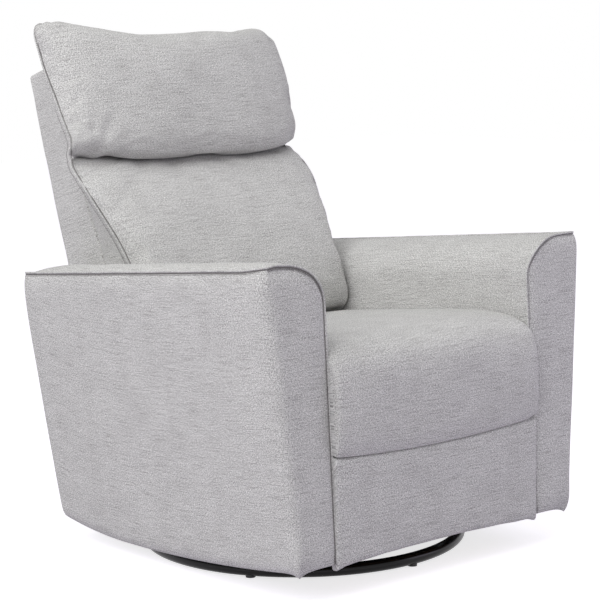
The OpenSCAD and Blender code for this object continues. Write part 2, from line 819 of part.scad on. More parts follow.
module board_pivot_pins() {
    color(zinc) both_sides() {
        x_rod(bracket_x, elbow_link_x + plate_t - bracket_x + head_h_pin, board_pivot, pin_r);
        x_rod(elbow_link_x + plate_t + run_fit, head_h_pin / 4, board_pivot, head_r * 0.9);
        x_rod(bracket_x + plate_t, side_play - run_fit, board_pivot, head_r);
    }
}

module footrest_brackets() {
    r = foot_link_w / 2;
    reach = board_pivot_y + board_rear_y;
    color(zinc) both_sides() {
        x_plate(bracket_x, plate_t) difference() {
            union() {
                translate(board_pivot) circle(r = r);
                translate([board_rear_y, board_pivot_z - r]) square([-board_pivot_y - board_rear_y, 2 * r]);
            }
            translate(board_pivot) circle(r = pin_r + run_fit);
        }
        translate([bracket_x - foot_link_w, board_rear_y, board_pivot_z - 2 * r])
            cube([foot_link_w + plate_t, rail_wall, 4 * r]);
    }
}

module footrest_board() {
    x = inner_x - side_gap - board_t;
    low = foot_low_z + board_t;
    color(plywood) translate([-x, board_rear_y - board_t, low])
        cube([2 * x, board_t, foot_top_z - board_t - low]);
}

// Shares of the pad's height, and of its thickness before the board
foot_pad_shares = [[0, 0], [0.02, 0.45], [0.07, 0.85], [0.16, 0.99], [0.34, 1], [0.5, 1], [0.66, 1],
    [0.84, 0.99],
    [0.93, 0.85], [0.98, 0.45], [1, 0]];
foot_power = 6;
module footrest_pad() {
    half = inner_x - side_gap;
    h = foot_top_z - foot_low_z;
    y = -foot_front + foot_pad_t;
    front = [for (i = [len(foot_pad_shares) - 1:-1:0])
        let (s = foot_pad_shares[i])
        [y - s[1] * foot_pad_t, foot_low_z + s[0] * h, half]];
    back = [for (k = [1:3]) [y, foot_low_z + h * k / 4, half]];
    color(cloth) padded_form(rounded_in(concat(front, back), foot_pad_t / 4), foot_power, 5);
}

// Backrest: everything here is drawn in the backrest's own frame
module on_back() {
    translate([0, recline_y, recline_z]) rotate([-back_angle, 0, 0]) children();
}

module back_post() {
    on_back() translate([post_x - back_post_w, post_y, -back_tail])
        cube([back_post_w, back_post_d, back_post_h + back_tail]);
}

module back_post_left() {
    color(timber) back_post();
}

module back_post_right() {
    color(timber) mirror([1, 0, 0]) back_post();
}

module back_cross_rail(z, y, depth) {
    x = post_x - back_post_w;
    on_back() translate([-x, y, z]) cube([2 * x, depth, back_rail_h]);
}

module back_top_rail() {
    color(timber) back_cross_rail(back_post_h - back_rail_h, post_y, back_post_d);
}

module back_middle_rail() {
    color(timber) back_cross_rail((back_post_h - back_rail_h) / 2, post_y, mid_rail_t);
}

bottom_rail_z = -back_tail + back_tail / 3;
module back_bottom_rail() {
    color(timber) back_cross_rail(bottom_rail_z, post_y + back_post_w, back_post_d - back_post_w);
}

module back_springs() {
    low = bottom_rail_z + back_rail_h / 2;
    color(spring_steel) on_back() {
        translate([0, post_y, back_rail_h]) rotate([90, 0, 0])
            spring_row(back_post_h - 1.5 * back_rail_h);
        for (i = [0:spring_n - 1])
            translate([(i - (spring_n - 1) / 2) * spring_spread - loop_w / 4, post_y - wire_d, low])
                cube([loop_w / 2, back_post_w + wire_d, wire_d]);
    }
}

module back_brackets() {
    r = 3 * pin_r;
    color(zinc) both_sides() on_back() x_plate(post_x, plate_t) difference() {
        union() {
            circle(r = r);
            translate([0, -r]) square([post_y + back_post_d / 2, 2 * r]);
            translate([post_y, -r]) square([back_post_d / 2, 4 * r]);
        }
        circle(r = pin_r + run_fit);
    }
}

module back_rear_panel() {
    color(cloth) on_back() translate([-post_x, back_depth - back_cover_t, -back_tail])
        cube([2 * post_x, back_cover_t, back_post_h + back_tail]);
}

module back_side_panel() {
    low = 9 * pin_r;
    on_back() translate([post_x, post_y, low])
        cube([back_cover_t - side_play, back_depth - post_y, back_post_h - low]);
}

module back_side_panel_left() {
    color(cloth) back_side_panel();
}

module back_side_panel_right() {
    color(cloth) mirror([1, 0, 0]) back_side_panel();
}

// The padded cap over the frame's top is rounded towards the back
module back_cap_panel() {
    x = post_x + back_cover_t - side_play;
    color(cloth) on_back() translate([0, 0, back_post_h]) x_plate(-x, 2 * x) intersection() {
        translate([post_y, 0]) square([back_depth - post_y, back_cap_t]);
        translate([back_depth - 2 * back_cap_t, -back_cap_t]) union() {
            circle(r = 2 * back_cap_t, $fn = 96);
            translate([-back_post_d * 2, 0]) square([back_post_d * 2, 2 * back_cap_t]);
        }
    }
}

// Back cushion outlines: shares of the cushion's thickness before the springs, of its length up the
// back, and of its reach over the arms
lumbar_shares = [[0, 0.99, 0.8], [0.13, 1, 1], [0.31, 0.985, 1], [0.46, 0.92, 0.99], [0.61, 0.81, 0.9],
    [0.76, 0.67, 0.61], [0.87, 0.53, 0.3], [0.95, 0.39, 0.09], [0.995, 0.26, 0], [1, 0.15, 0],
    [0.97, 0.08, 0], [0.9, 0.038, 0], [0.8, 0.012, 0], [0.6, 0.003, 0], [0.36, 0.001, 0], [0.03, 0, 0],
    [0, 0.02, 0], [0, 0.35, 0], [0, 0.68, 0.1]];
head_shares = [[0, 0.99, 1], [0.02, 0.995, 1], [0.14, 1, 1], [0.34, 0.995, 1], [0.56, 0.97, 1],
    [0.77, 0.9, 1], [0.91, 0.79, 1], [0.985, 0.66, 1], [1, 0.51, 1], [0.965, 0.36, 1], [0.86, 0.2, 1],
    [0.66, 0.075, 1], [0.4, 0.01, 1], [0.12, 0, 1], [0, 0.03, 1], [0, 0.3, 1], [0, 0.75, 1]];
// At the sides a back cushion thins towards the seam that its boxing ends in, by seam_share of its
// thickness, and its top corners rise
back_power = 3;
module back_cushion(shares, thickness, low, high, rise, seam_share, fan) {
    between = inner_x - lumbar_gap;
    on_back() padded_form([for (s = shares)
        [spring_y - s[0] * thickness, low + s[1] * (high - low), between + s[2] * (cushion_over + lumbar_gap),
            s[0] * thickness * seam_share, rise * pow(s[1], 6)]], back_power, fan);
}

module lumbar_cushion() {
    high = fold_h - fold_gap / 2;
    color(cloth) back_cushion(lumbar_shares, lumbar_t, lumbar_low_z, high, 0, 0.3, len(lumbar_shares) - 1);
}

module head_cushion() {
    low = fold_h + fold_gap / 2;
    color(cloth) back_cushion(head_shares, head_t, low, low + head_h, ear_rise, 0.6, floor(len(head_shares) / 2));
}

base_ring();
ring_glides();
base_spokes();
bearing_lower_plate();
bearing_balls();
ball_cage();
king_bolt();
bolt_cap();
bearing_upper_plate();
deck_plate();
glide_brackets();
deck_pivot_pins();
front_glide_links();
rear_glide_links();
glide_rails();
glide_pivot_pins();
front_base_rail();
rear_base_rail();
rear_apron();
arm_cover_left();
arm_cover_right();
arm_inner_board_left();
arm_inner_board_right();
arm_outer_board_left();
arm_outer_board_right();
arm_top_rails();
arm_front_posts();
arm_rear_posts();
mechanism_plate_left();
mechanism_plate_right();
plate_bolts();
seat_front_rail();
seat_rear_rail();
seat_side_rails();
seat_springs();
seat_cushion();
seat_front_pad();
recline_pivot_pins();
footrest_pivot_pins();
footrest_upper_links();
footrest_cross_tube();
footrest_elbow_pins();
footrest_lower_links();
board_pivot_pins();
footrest_brackets();
footrest_board();
footrest_pad();
back_post_left();
back_post_right();
back_top_rail();
back_middle_rail();
back_bottom_rail();
back_springs();
back_brackets();
back_rear_panel();
back_side_panel_left();
back_side_panel_right();
back_cap_panel();
lumbar_cushion();
head_cushion();
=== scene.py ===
import json
import math

import bpy
import bmesh
import numpy as np
from mathutils import Matrix, Vector, noise


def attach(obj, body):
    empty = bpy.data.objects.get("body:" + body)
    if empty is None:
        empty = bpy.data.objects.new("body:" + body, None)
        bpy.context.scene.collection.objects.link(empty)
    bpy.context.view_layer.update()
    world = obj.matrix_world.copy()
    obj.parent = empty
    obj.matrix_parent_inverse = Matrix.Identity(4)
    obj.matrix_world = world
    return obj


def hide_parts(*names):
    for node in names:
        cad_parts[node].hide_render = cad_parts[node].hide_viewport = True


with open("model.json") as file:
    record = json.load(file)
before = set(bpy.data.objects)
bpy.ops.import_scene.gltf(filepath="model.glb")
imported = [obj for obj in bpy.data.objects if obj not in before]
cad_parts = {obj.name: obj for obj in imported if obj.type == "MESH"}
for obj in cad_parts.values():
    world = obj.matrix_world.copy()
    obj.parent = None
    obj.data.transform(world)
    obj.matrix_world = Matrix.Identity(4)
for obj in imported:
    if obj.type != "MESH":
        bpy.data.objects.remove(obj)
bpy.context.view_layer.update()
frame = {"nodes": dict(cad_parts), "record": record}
print("frame loaded:", len(frame["nodes"]), "CAD nodes")

# Small helpers
def linearColour(hexText):
    channels = [int(hexText[i:i + 2], 16) / 255 for i in (1, 3, 5)]
    return [c / 12.92 if c <= 0.04045 else ((c + 0.055) / 1.055) ** 2.4 for c in channels] + [1.0]


def feed(tree, node, inputs):
    # A source is another node's output, which is linked, or a plain value
    for key, source in inputs.items():
        if isinstance(source, bpy.types.NodeSocket):
            tree.links.new(source, node.inputs[key])
        else:
            node.inputs[key].default_value = source


def addNode(tree, kind, settings=None, inputs=None):
    node = tree.nodes.new(kind)
    for key, value in (settings or {}).items():
        setattr(node, key, value)
    feed(tree, node, inputs or {})
    return node


def between(a, b, t):
    return a + (b - a) * t


def clamped(share):
    return max(0.0, min(1.0, share))


def bell(value, middle, width):
    return math.exp(-((value - middle) / width) ** 2)


def rise(distance, run):
    return 1 - math.exp(-max(0.0, distance) / run)


def towardsEdges(count):
    # Shares from -1 to 1 that lie closer together towards both ends
    return np.sin(np.linspace(-1, 1, count) * math.pi / 2)


def drawnShare(t, power):
    # How far a stuffed panel has drawn in, from 0 in the middle to 1 at its sewn sides
    return 1 - max(0.0, 1 - abs(t) ** power) ** (1 / power)


def waves(point, size, seed):
    return noise.noise(Vector(point) / size + Vector((seed * 7.3, seed * 3.1, seed * 5.7)))


def newObject(name, data):
    obj = bpy.data.objects.new(name, data)
    bpy.context.scene.collection.objects.link(obj)
    return obj


def meshObject(name, points, faces, uvs=None, cornerUvs=None):
    # points are in millimetres; uvs has a pair of millimetres for each point, and cornerUvs a list
    # of pairs for each face that has its own
    mesh = bpy.data.meshes.new(name)
    mesh.from_pydata([(p[0] / 1000, p[1] / 1000, p[2] / 1000) for p in points], [], faces)
    if uvs is not None:
        layer = mesh.uv_layers.new(name="cloth")
        for polygon in mesh.polygons:
            own = (cornerUvs or {}).get(polygon.index)
            for k, loop in enumerate(polygon.loop_indices):
                u, v = own[k] if own else uvs[polygon.vertices[k]]
                layer.data[loop].uv = (u / 1000, v / 1000)
    mesh.polygons.foreach_set("use_smooth", [True] * len(mesh.polygons))
    mesh.update()
    return newObject(name, mesh)


def outward(obj):
    bm = bmesh.new()
    bm.from_mesh(obj.data)
    bmesh.ops.recalc_face_normals(bm, faces=bm.faces)
    bm.to_mesh(obj.data)
    bm.free()
    return obj


def gridFaces(rows, cols, around=True):
    last = cols if around else cols - 1
    return [(r * cols + c, r * cols + (c + 1) % cols, (r + 1) * cols + (c + 1) % cols, (r + 1) * cols + c)
            for r in range(rows - 1) for c in range(last)]


def endFaces(rows, cols):
    # The two faces that close a tube of rows by cols points
    return [tuple(range(cols)), tuple((rows - 1) * cols + c for c in reversed(range(cols)))]


def walkAlong(points):
    return np.concatenate([[0], np.cumsum(np.linalg.norm(np.diff(points, axis=0), axis=1))])


def respaced(points, count, placeColumns=3, endpoint=True):
    # Points at even steps along a line, whose first columns are its place
    walk = walkAlong(points[:, :placeColumns])
    at = np.linspace(0, walk[-1], count, endpoint=endpoint)
    return np.stack([np.interp(at, walk, points[:, k]) for k in range(points.shape[1])], 1)


def smoothLine(points, count):
    # Catmull-Rom through the points, then even steps along it
    p = np.array(points, float)
    padded = np.vstack([2 * p[0] - p[1], p, 2 * p[-1] - p[-2]])
    fine = []
    for i in range(len(p) - 1):
        a, b, c, d = padded[i:i + 4]
        for t in np.linspace(0, 1, 12, endpoint=False):
            fine.append(0.5 * (2 * b + (c - a) * t + (2 * a - 5 * b + 4 * c - d) * t ** 2
                               + (3 * b - a - 3 * c + d) * t ** 3))
    return respaced(np.array(fine + [p[-1]]), count, placeColumns=2)


def smoothPath(points, count, passes=2):
    p = np.array(points, float)
    for _ in range(passes):
        p[1:-1] = (p[:-2] + 2 * p[1:-1] + p[2:]) / 4
    return respaced(p, count)


def subdivide(obj):
    smooth = obj.modifiers.new("smooth", "SUBSURF")
    smooth.levels = smooth.render_levels = 1


def ripple(obj, amount, size, seed, keep=None):
    # Moves each point along its normal by soft noise, in millimetres
    mesh = obj.data
    normals = [v.normal.copy() for v in mesh.vertices]
    for v, n in zip(mesh.vertices, normals):
        share = 1.0 if keep is None else keep(v.co * 1000)
        v.co += n * (amount * share * waves(v.co * 1000, size, seed) / 1000)
    mesh.update()


def tube(name, path, radius, sides=8):
    # A tube along a path of millimetre points, closed at both ends
    p = np.array(path, float)
    along = np.gradient(p, axis=0)
    along /= np.linalg.norm(along, axis=1)[:, None]
    side = np.cross(along[0], [0.3, 0.2, 1.0])
    points, uvs, walked = [], [], 0.0
    for i in range(len(p)):
        side = side - along[i] * np.dot(side, along[i])
        side /= np.linalg.norm(side)
        up = np.cross(along[i], side)
        walked += np.linalg.norm(p[i] - p[i - 1]) if i else 0.0
        for k in range(sides):
            a = 2 * math.pi * k / sides
            points.append(p[i] + radius * (math.cos(a) * side + math.sin(a) * up))
            uvs.append((walked, radius * a))
    return outward(meshObject(name, points, gridFaces(len(p), sides) + endFaces(len(p), sides), uvs))


# Materials
def newMaterial(name):
    material = bpy.data.materials.new(name)
    material.use_nodes = True
    tree = material.node_tree
    return material, tree, tree.nodes["Principled BSDF"]


# Polyester upholstery in a linen-look plain weave: heathered grey yarn with paler and darker flecks
# and long horizontal slubs. The real yarns lie 0.7 mm apart; they are drawn 1.5 mm apart so that
# the weave shows at this image's scale.
clothLook = {
    "yarn": "#CCCCCA", "pale": "#F1F0EE", "dark": "#7E7B7B", "pitch": 1.5, "distortion": 2.5, "relief": 0.25,
    "roughness": 0.92, "specular": 0.25, "sheen": 0.12,
    # Marks over the yarn: size along and across it, the noise values where they start and are full
    "marks": {
        "slub": {"size": (64.0, 1.5), "detail": 1.5, "shows": (0.5, 0.72), "share": 0.36, "tone": "pale"},
        "darkSlub": {"size": (51.2, 1.5), "detail": 1, "shows": (0.45, 0.27), "share": 0.56, "tone": "dark"},
        "fleck": {"size": (2.89, 1.7), "detail": 1, "shows": (0.5, 0.68), "share": 0.95, "tone": "pale"},
        "speck": {"size": (1.7, 2.04), "detail": 1, "shows": (0.49, 0.29), "share": 0.9, "tone": "dark"},
        "mottle": {"size": (80.0, 40.0), "detail": 3, "shows": (0.3, 0.7), "share": 0.09, "tone": "dark"},
    },
}


def wovenCloth(name, look):
    material, tree, shader = newMaterial(name)
    uv = addNode(tree, "ShaderNodeUVMap", {"uv_map": "cloth"}).outputs["UV"]

    def scaled(sizeU, sizeV):
        return addNode(tree, "ShaderNodeMapping",
                       inputs={"Scale": (1000 / sizeU, 1000 / sizeV, 1), "Vector": uv}).outputs["Vector"]

    def times(a, b):
        return addNode(tree, "ShaderNodeMath", {"operation": "MULTIPLY"}, {0: a, 1: b}).outputs[0]

    def yarns(direction, sizeU, sizeV):
        return addNode(tree, "ShaderNodeTexWave", {"wave_type": "BANDS", "bands_direction": direction},
                       {"Scale": 0.5, "Distortion": look["distortion"], "Detail": 2.0, "Detail Scale": 1.0,
                        "Vector": scaled(sizeU, sizeV)}).outputs["Fac"]

    colour, shown = linearColour(look["yarn"]), {}
    for key, mark in look["marks"].items():
        cloud = addNode(tree, "ShaderNodeTexNoise", {"noise_dimensions": "2D"},
                        {"Scale": 1.0, "Detail": mark["detail"], "Roughness": 0.5,
                         "Vector": scaled(*mark["size"])}).outputs["Fac"]
        shown[key] = addNode(tree, "ShaderNodeMapRange", {"clamp": True},
                             {"Value": cloud, "From Min": mark["shows"][0],
                              "From Max": mark["shows"][1]}).outputs["Result"]
        colour = addNode(tree, "ShaderNodeMix", {"data_type": "RGBA"},
                         {0: times(shown[key], mark["share"]), 6: colour,
                          7: linearColour(look[mark["tone"]])}).outputs[2]
    pitch = look["pitch"]
    weave = times(yarns("Y", pitch * 3, pitch), yarns("X", pitch, pitch * 3))
    height = addNode(tree, "ShaderNodeMath", {"operation": "ADD"}, {0: weave, 1: shown["fleck"]}).outputs[0]
    bump = addNode(tree, "ShaderNodeBump",
                   inputs={"Strength": 0.5, "Distance": look["relief"] / 1000, "Height": height})
    feed(tree, shader, {"Base Color": colour, "Normal": bump.outputs["Normal"],
                        "Roughness": look["roughness"], "Specular IOR Level": look["specular"],
                        "Sheen Weight": look["sheen"], "Sheen Roughness": 0.5})
    return material


def speckledFinish(name, look):
    # A surface with one colour pair, a stretched noise for its grain and a fine relief
    material, tree, shader = newMaterial(name)
    place = addNode(tree, "ShaderNodeTexCoord").outputs["Object"]
    stretch = addNode(tree, "ShaderNodeMapping",
                      inputs={"Scale": [1000 / s for s in look["grain"]], "Vector": place}).outputs["Vector"]
    grain = addNode(tree, "ShaderNodeTexNoise",
                    inputs={"Scale": 1.0, "Detail": 4.0, "Roughness": 0.6, "Vector": stretch,
                            "Distortion": look.get("twist", 0.0)}).outputs["Fac"]
    ramp = addNode(tree, "ShaderNodeMapRange", inputs={"Value": grain, "From Min": 0.3, "From Max": 0.7})
    colour = addNode(tree, "ShaderNodeMix", {"data_type": "RGBA"},
                     {0: ramp.outputs["Result"], 6: linearColour(look["dark"]),
                      7: linearColour(look["pale"])})
    spread = look.get("roughSpread", 0.04)
    rough = addNode(tree, "ShaderNodeMapRange",
                    inputs={"Value": grain, "To Min": look["rough"] - spread,
                            "To Max": look["rough"] + spread})
    bump = addNode(tree, "ShaderNodeBump",
                   inputs={"Strength": look.get("bump", 0.25), "Distance": look["relief"] / 1000,
                           "Height": grain})
    feed(tree, shader, {"Base Color": colour.outputs[2], "Roughness": rough.outputs["Result"],
                        "Normal": bump.outputs["Normal"], "Metallic": look.get("metallic", 0.0),
                        "Specular IOR Level": look.get("specular", 0.5)})
    if "coat" in look:
        feed(tree, shader, {"Coat Weight": look["coat"], "Coat Roughness": 0.06})
    return material


upholstery = wovenCloth("wovenUpholstery", clothLook)
# Dark grey, used twice: the thread of the stitches, a darker twist of the same yarn, and painted shade, a
# thin dark tube laid along the ditch beside each cord
stitchThreadAndSeamShade = speckledFinish("stitchThreadAndSeamShade", {
    "pale": "#8A8786", "dark": "#6E6B6A", "grain": (2, 2, 2), "rough": 0.9, "relief": 0.2})
# Sawn and planed pine, with its grain along the longest way
frameTimber = speckledFinish("sawnPine", {
    "pale": "#D9BC8C", "dark": "#B68E5B", "grain": (60, 4, 9), "rough": 0.72, "relief": 0.3, "twist": 0.6})
# Birch plywood, pale and satin, with a wandering face grain
plywood = speckledFinish("birchPlywood", {
    "pale": "#CFAE7F", "dark": "#B08A5A", "grain": (12, 70, 22), "rough": 0.66, "relief": 0.2, "twist": 0.8})
# Baked gloss enamel on steel tube, deep black with a thin clear coat and faint orange peel
blackEnamel = speckledFinish("blackEnamel", {
    "pale": "#0B0B0C", "dark": "#070708", "grain": (14, 14, 14), "rough": 0.24, "relief": 0.05, "coat": 0.12,
    "bump": 0.08, "specular": 0.18})
# Zinc-plated pressed steel, a dull bluish metal with a fine crystalline mottle
zincSteel = speckledFinish("zincPlatedSteel", {
    "pale": "#C3C7C9", "dark": "#A3A8AB", "grain": (5, 5, 5), "rough": 0.38, "relief": 0.05, "metallic": 1.0,
    "roughSpread": 0.08})
# Oil-tempered spring wire, dark blue-grey metal with a faint mottle from drawing
springSteel = speckledFinish("temperedSpringWire", {
    "pale": "#7A7E82", "dark": "#55595D", "grain": (8, 8, 8), "rough": 0.34, "relief": 0.05, "metallic": 1.0})
# Moulded nylon, matt black with a fine moulded grain
glideNylon = speckledFinish("mouldedNylon", {
    "pale": "#303032", "dark": "#262628", "grain": (1.5, 1.5, 1.5), "rough": 0.55, "relief": 0.08})
finishOfSlot = {"woven_upholstery": upholstery, "frame_timber": frameTimber, "plywood": plywood,
                "black_enamel_steel": blackEnamel, "zinc_steel": zincSteel, "spring_steel": springSteel,
                "glide_plastic": glideNylon}
print("materials made")

# CAD nodes that stay in sight take the finish of their slot
for part in frame["record"]["subparts"]:
    node = frame["nodes"][part["node"]]
    node.data.materials.clear()
    node.data.materials.append(finishOfSlot[part["material_slot"]])


def dress(obj, body, replaced=(), material=upholstery):
    obj.data.materials.clear()
    obj.data.materials.append(material)
    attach(obj, body)
    if replaced:
        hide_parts(*replaced)
    return obj


# Cloth simulation: the back cushions fill out under pressure between their sewn lines, and no point
# moves further than the cap, in millimetres
simulation = {
    "frames": 20, "cap": 4.0,
    "cloth": {"quality": 5, "mass": 0.3, "tension_stiffness": 15, "compression_stiffness": 15,
              "shear_stiffness": 5, "bending_stiffness": 0.6, "air_damping": 2, "use_pressure": True,
              "uniform_pressure_force": 2.0, "vertex_group_mass": "sewn", "shrink_min": -0.015},
}


def fillOut(obj, pinned):
    scene = bpy.context.scene
    rest = np.array([v.co for v in obj.data.vertices])
    obj.vertex_groups.new(name="sewn").add(pinned, 1.0, "REPLACE")
    cloth = obj.modifiers.new("cloth", "CLOTH")
    for key, value in simulation["cloth"].items():
        setattr(cloth.settings, key, value)
    cloth.settings.effector_weights.gravity = 0
    cloth.collision_settings.use_collision = False
    cloth.point_cache.frame_start = 1
    cloth.point_cache.frame_end = simulation["frames"]
    for step in range(1, simulation["frames"] + 1):
        scene.frame_set(step)
    evaluated = obj.evaluated_get(bpy.context.evaluated_depsgraph_get())
    moved = np.array([v.co for v in evaluated.data.vertices])
    obj.modifiers.remove(cloth)
    obj.vertex_groups.clear()
    scene.frame_set(1)
    offset = moved - rest
    length = np.linalg.norm(offset, axis=1)[:, None] * 1000
    offset *= np.minimum(1.0, simulation["cap"] / np.maximum(length, 1e-6))
    for v, co in zip(obj.data.vertices, rest + offset):
        v.co = co
    obj.data.update()
    print("filled out", obj.name, "by up to", round(float(min(length.max(), simulation["cap"])), 1), "mm")


# Arms: the section's four sides, each with a share along it, swept from the arm's front to its back.
# Sizes are in millimetres here and in every dictionary below.
arm = {
    "innerX": 246.0, "footWidth": 83.0, "flare": 45.0, "topZ": 567.0, "fall": 62.0,
    "rollWidth": 86.0, "rollHeight": 66.0, "front": 363.0, "frontLean": 25.0, "back": 312.0,
    "backLean": 38.0, "footFrontZ": 57.0, "hemFrontZ": 63.0, "footBackZ": 42.0, "bellyZ": 26.0,
    "bellyY": 130.0, "sidePillow": 8.0, "sideRipple": 1.6, "frontPillow": 8.0, "backPillow": 10.4,
    # The last size is the thin dark tube of painted seam shade beside the cord
    "backCorner": 3.0, "hemPoint": 9.0, "cordRadius": 2.0, "seamShadeRadius": 0.9,
}
# What differs from one arm to the other: stuffing of the top, soft front corner, further flare
armForm = {"Right": {"crown": 12.0, "lift": 3.5, "corner": 24.0, "flare": 0.0, "flareFrom": 0.3},
           "Left": {"crown": 2.0, "lift": 1.0, "corner": 10.0, "flare": 9.0, "flareFrom": 0.5}}


def armFrontY(z):
    return -arm["front"] + arm["frontLean"] * (z - arm["footFrontZ"]) / (arm["topZ"] - arm["footFrontZ"])


def armBackY(z):
    backTop = arm["topZ"] - arm["fall"]
    return arm["back"] + arm["backLean"] * (z - arm["footBackZ"]) / (backTop - arm["footBackZ"])


def armTopZ(y):
    run = arm["front"] + arm["back"] - arm["frontLean"] + arm["backLean"]
    return arm["topZ"] - arm["fall"] * (y - armFrontY(arm["topZ"])) / run


def armBottomZ(y):
    if y < arm["bellyY"]:
        share = (arm["bellyY"] - y) / (arm["bellyY"] + arm["front"])
        return between(arm["bellyZ"], arm["hemFrontZ"], share ** 2)
    share = (y - arm["bellyY"]) / (arm["back"] - arm["bellyY"])
    return between(arm["bellyZ"], arm["footBackZ"], min(1.3, share) ** 2)


def armEndY(z, x, top, bottom, ahead):
    # The stuffed end faces bulge away from their seams, at the top, the inner edge and the bottom
    if ahead:
        return armFrontY(z) - arm["frontPillow"] * (rise(top - z, 12) * rise(z - bottom, 10)
                                                    * rise(x - arm["innerX"], 12))
    share = clamped((z - bottom) / (top - bottom))
    pillow = arm["backPillow"] * share * math.sin(math.pi * share)
    return armBackY(z) + 5 * share - 8 * (1 - share) ** 6 + pillow


def armPoint(side, share, s, name):
    # side is outer (0 at the bottom), over (from the outer edge into the roll), inner (down to the
    # bottom) or under (out to the outer edge); s runs from the arm's front to its back
    form = armForm[name]
    strip, w = side, share
    if side == "over":
        strip, w = ("top", share / 0.4) if share < 0.4 else ("roll", (share - 0.4) / 1.2)
    elif side == "inner":
        strip, w = ("roll", 0.5 + share / 0.24) if share < 0.12 else ("inner", (share - 0.12) / 0.88)
    z = 300.0
    for _ in range(4):
        y0 = between(armFrontY(z), armBackY(z), s)
        top, bottom = armTopZ(y0), armBottomZ(y0)
        if strip == "outer":
            z = between(bottom, top, w)
        elif strip == "inner":
            z = between(top - arm["rollHeight"], bottom, w)
        elif strip == "roll":
            z = top - arm["rollHeight"] * (1 - math.cos(math.pi / 2 * w))
        elif strip == "top":
            z = top
        else:
            z = bottom
    high = (z - arm["footFrontZ"]) / (arm["topZ"] - arm["footFrontZ"])
    outerX = arm["innerX"] + arm["footWidth"] + arm["flare"] * high
    outerX += form["flare"] * (high - form["flareFrom"])
    ahead, behind = y0 - armFrontY(z), armBackY(z) - y0
    softness = (0.45 + 0.55 * min(1.0, (top - z) / 45)) * (0.15 + 0.85 * min(1.0, (z - bottom) / 60))
    for radius, distance in ((form["corner"], ahead), (arm["backCorner"], behind)):
        if distance < radius:
            outerX -= softness * (radius - math.sqrt(max(0.0, radius ** 2 - (radius - distance) ** 2)))
    if strip == "outer":
        pillow = rise(top - z, 12) * rise(z - bottom, 6)
        x = outerX + pillow * (arm["sidePillow"] + arm["sideRipple"] * waves((0, y0, z), 130, len(name)))
    elif strip == "inner":
        x = arm["innerX"]
    elif strip == "roll":
        x = arm["innerX"] + arm["rollWidth"] * (1 - math.sin(math.pi / 2 * w))
    elif strip == "top":
        x = between(outerX, arm["innerX"] + arm["rollWidth"], w)
    else:
        x = between(arm["innerX"], outerX, w)
    y = between(armEndY(z, x, top, bottom, True), armEndY(z, x, top, bottom, False), s)
    lift = form["lift"] * bell(max(0.0, ahead), 0, 34)
    if strip in ("outer", "under"):
        # The hem hangs in a small point at the front corner
        z -= arm["hemPoint"] * math.exp(-max(0.0, ahead) / 11 - max(0.0, outerX - x) / 13 - (z - bottom) / 14)
    if strip == "outer":
        z += lift * math.exp(-(top - z) / 20)
    elif strip in ("top", "roll"):
        swell = math.sin(math.pi / 2 * min(1.0, w / 0.75)) if strip == "top" else max(0.0, 1 - (w / 0.8) ** 2)
        wavy = 1 + 0.25 * waves((y0, 0, 0), 90, 3)
        fade = (0.42 + 0.58 * rise(ahead, 16)) * rise(behind, 30)
        z += form["crown"] * swell * wavy * fade + (lift * (1 - w) if strip == "top" else 0.0)
    return [x, y, z]


def eased(count, edge=(0.004, 0.012, 0.028)):
    inside = np.linspace(edge[-1], 1 - edge[-1], count)
    return [0.0, *edge[:-1], *inside, *[1 - e for e in reversed(edge[:-1])], 1.0]


armHeights = eased(56)
armAcross = eased(12, (0.02, 0.06, 0.12))
armLengths = [0.0, 0.0015, 0.004, 0.0075, 0.012, 0.0175, 0.0235, 0.03, 0.038, *np.linspace(0.048, 0.955, 84),
              0.968, 0.98, 0.989, 0.994, 0.998, 1.0]
armLoop = ([("outer", w) for w in armHeights[:-1]] + [("over", w) for w in armAcross[:-1]]
           + [("inner", w) for w in armHeights[:-1]] + [("under", w) for w in armAcross[:-1]])


def coonsPatch(outer, over, inner, under):
    # Fills the outline of an end face: outer runs up, over across, inner down and under back
    n, m = len(outer), len(over)
    patch = np.zeros((n, m, 2))
    for i in range(n):
        for j in range(m):
            u, v = j / (m - 1), i / (n - 1)
            left, right = outer[i], inner[n - 1 - i]
            low, high = under[m - 1 - j], over[j]
            corners = ((1 - u) * (1 - v) * outer[0] + u * (1 - v) * inner[-1]
                       + (1 - u) * v * outer[-1] + u * v * inner[0])
            patch[i, j] = (1 - u) * left + u * right + (1 - v) * low + v * high - corners
    return patch


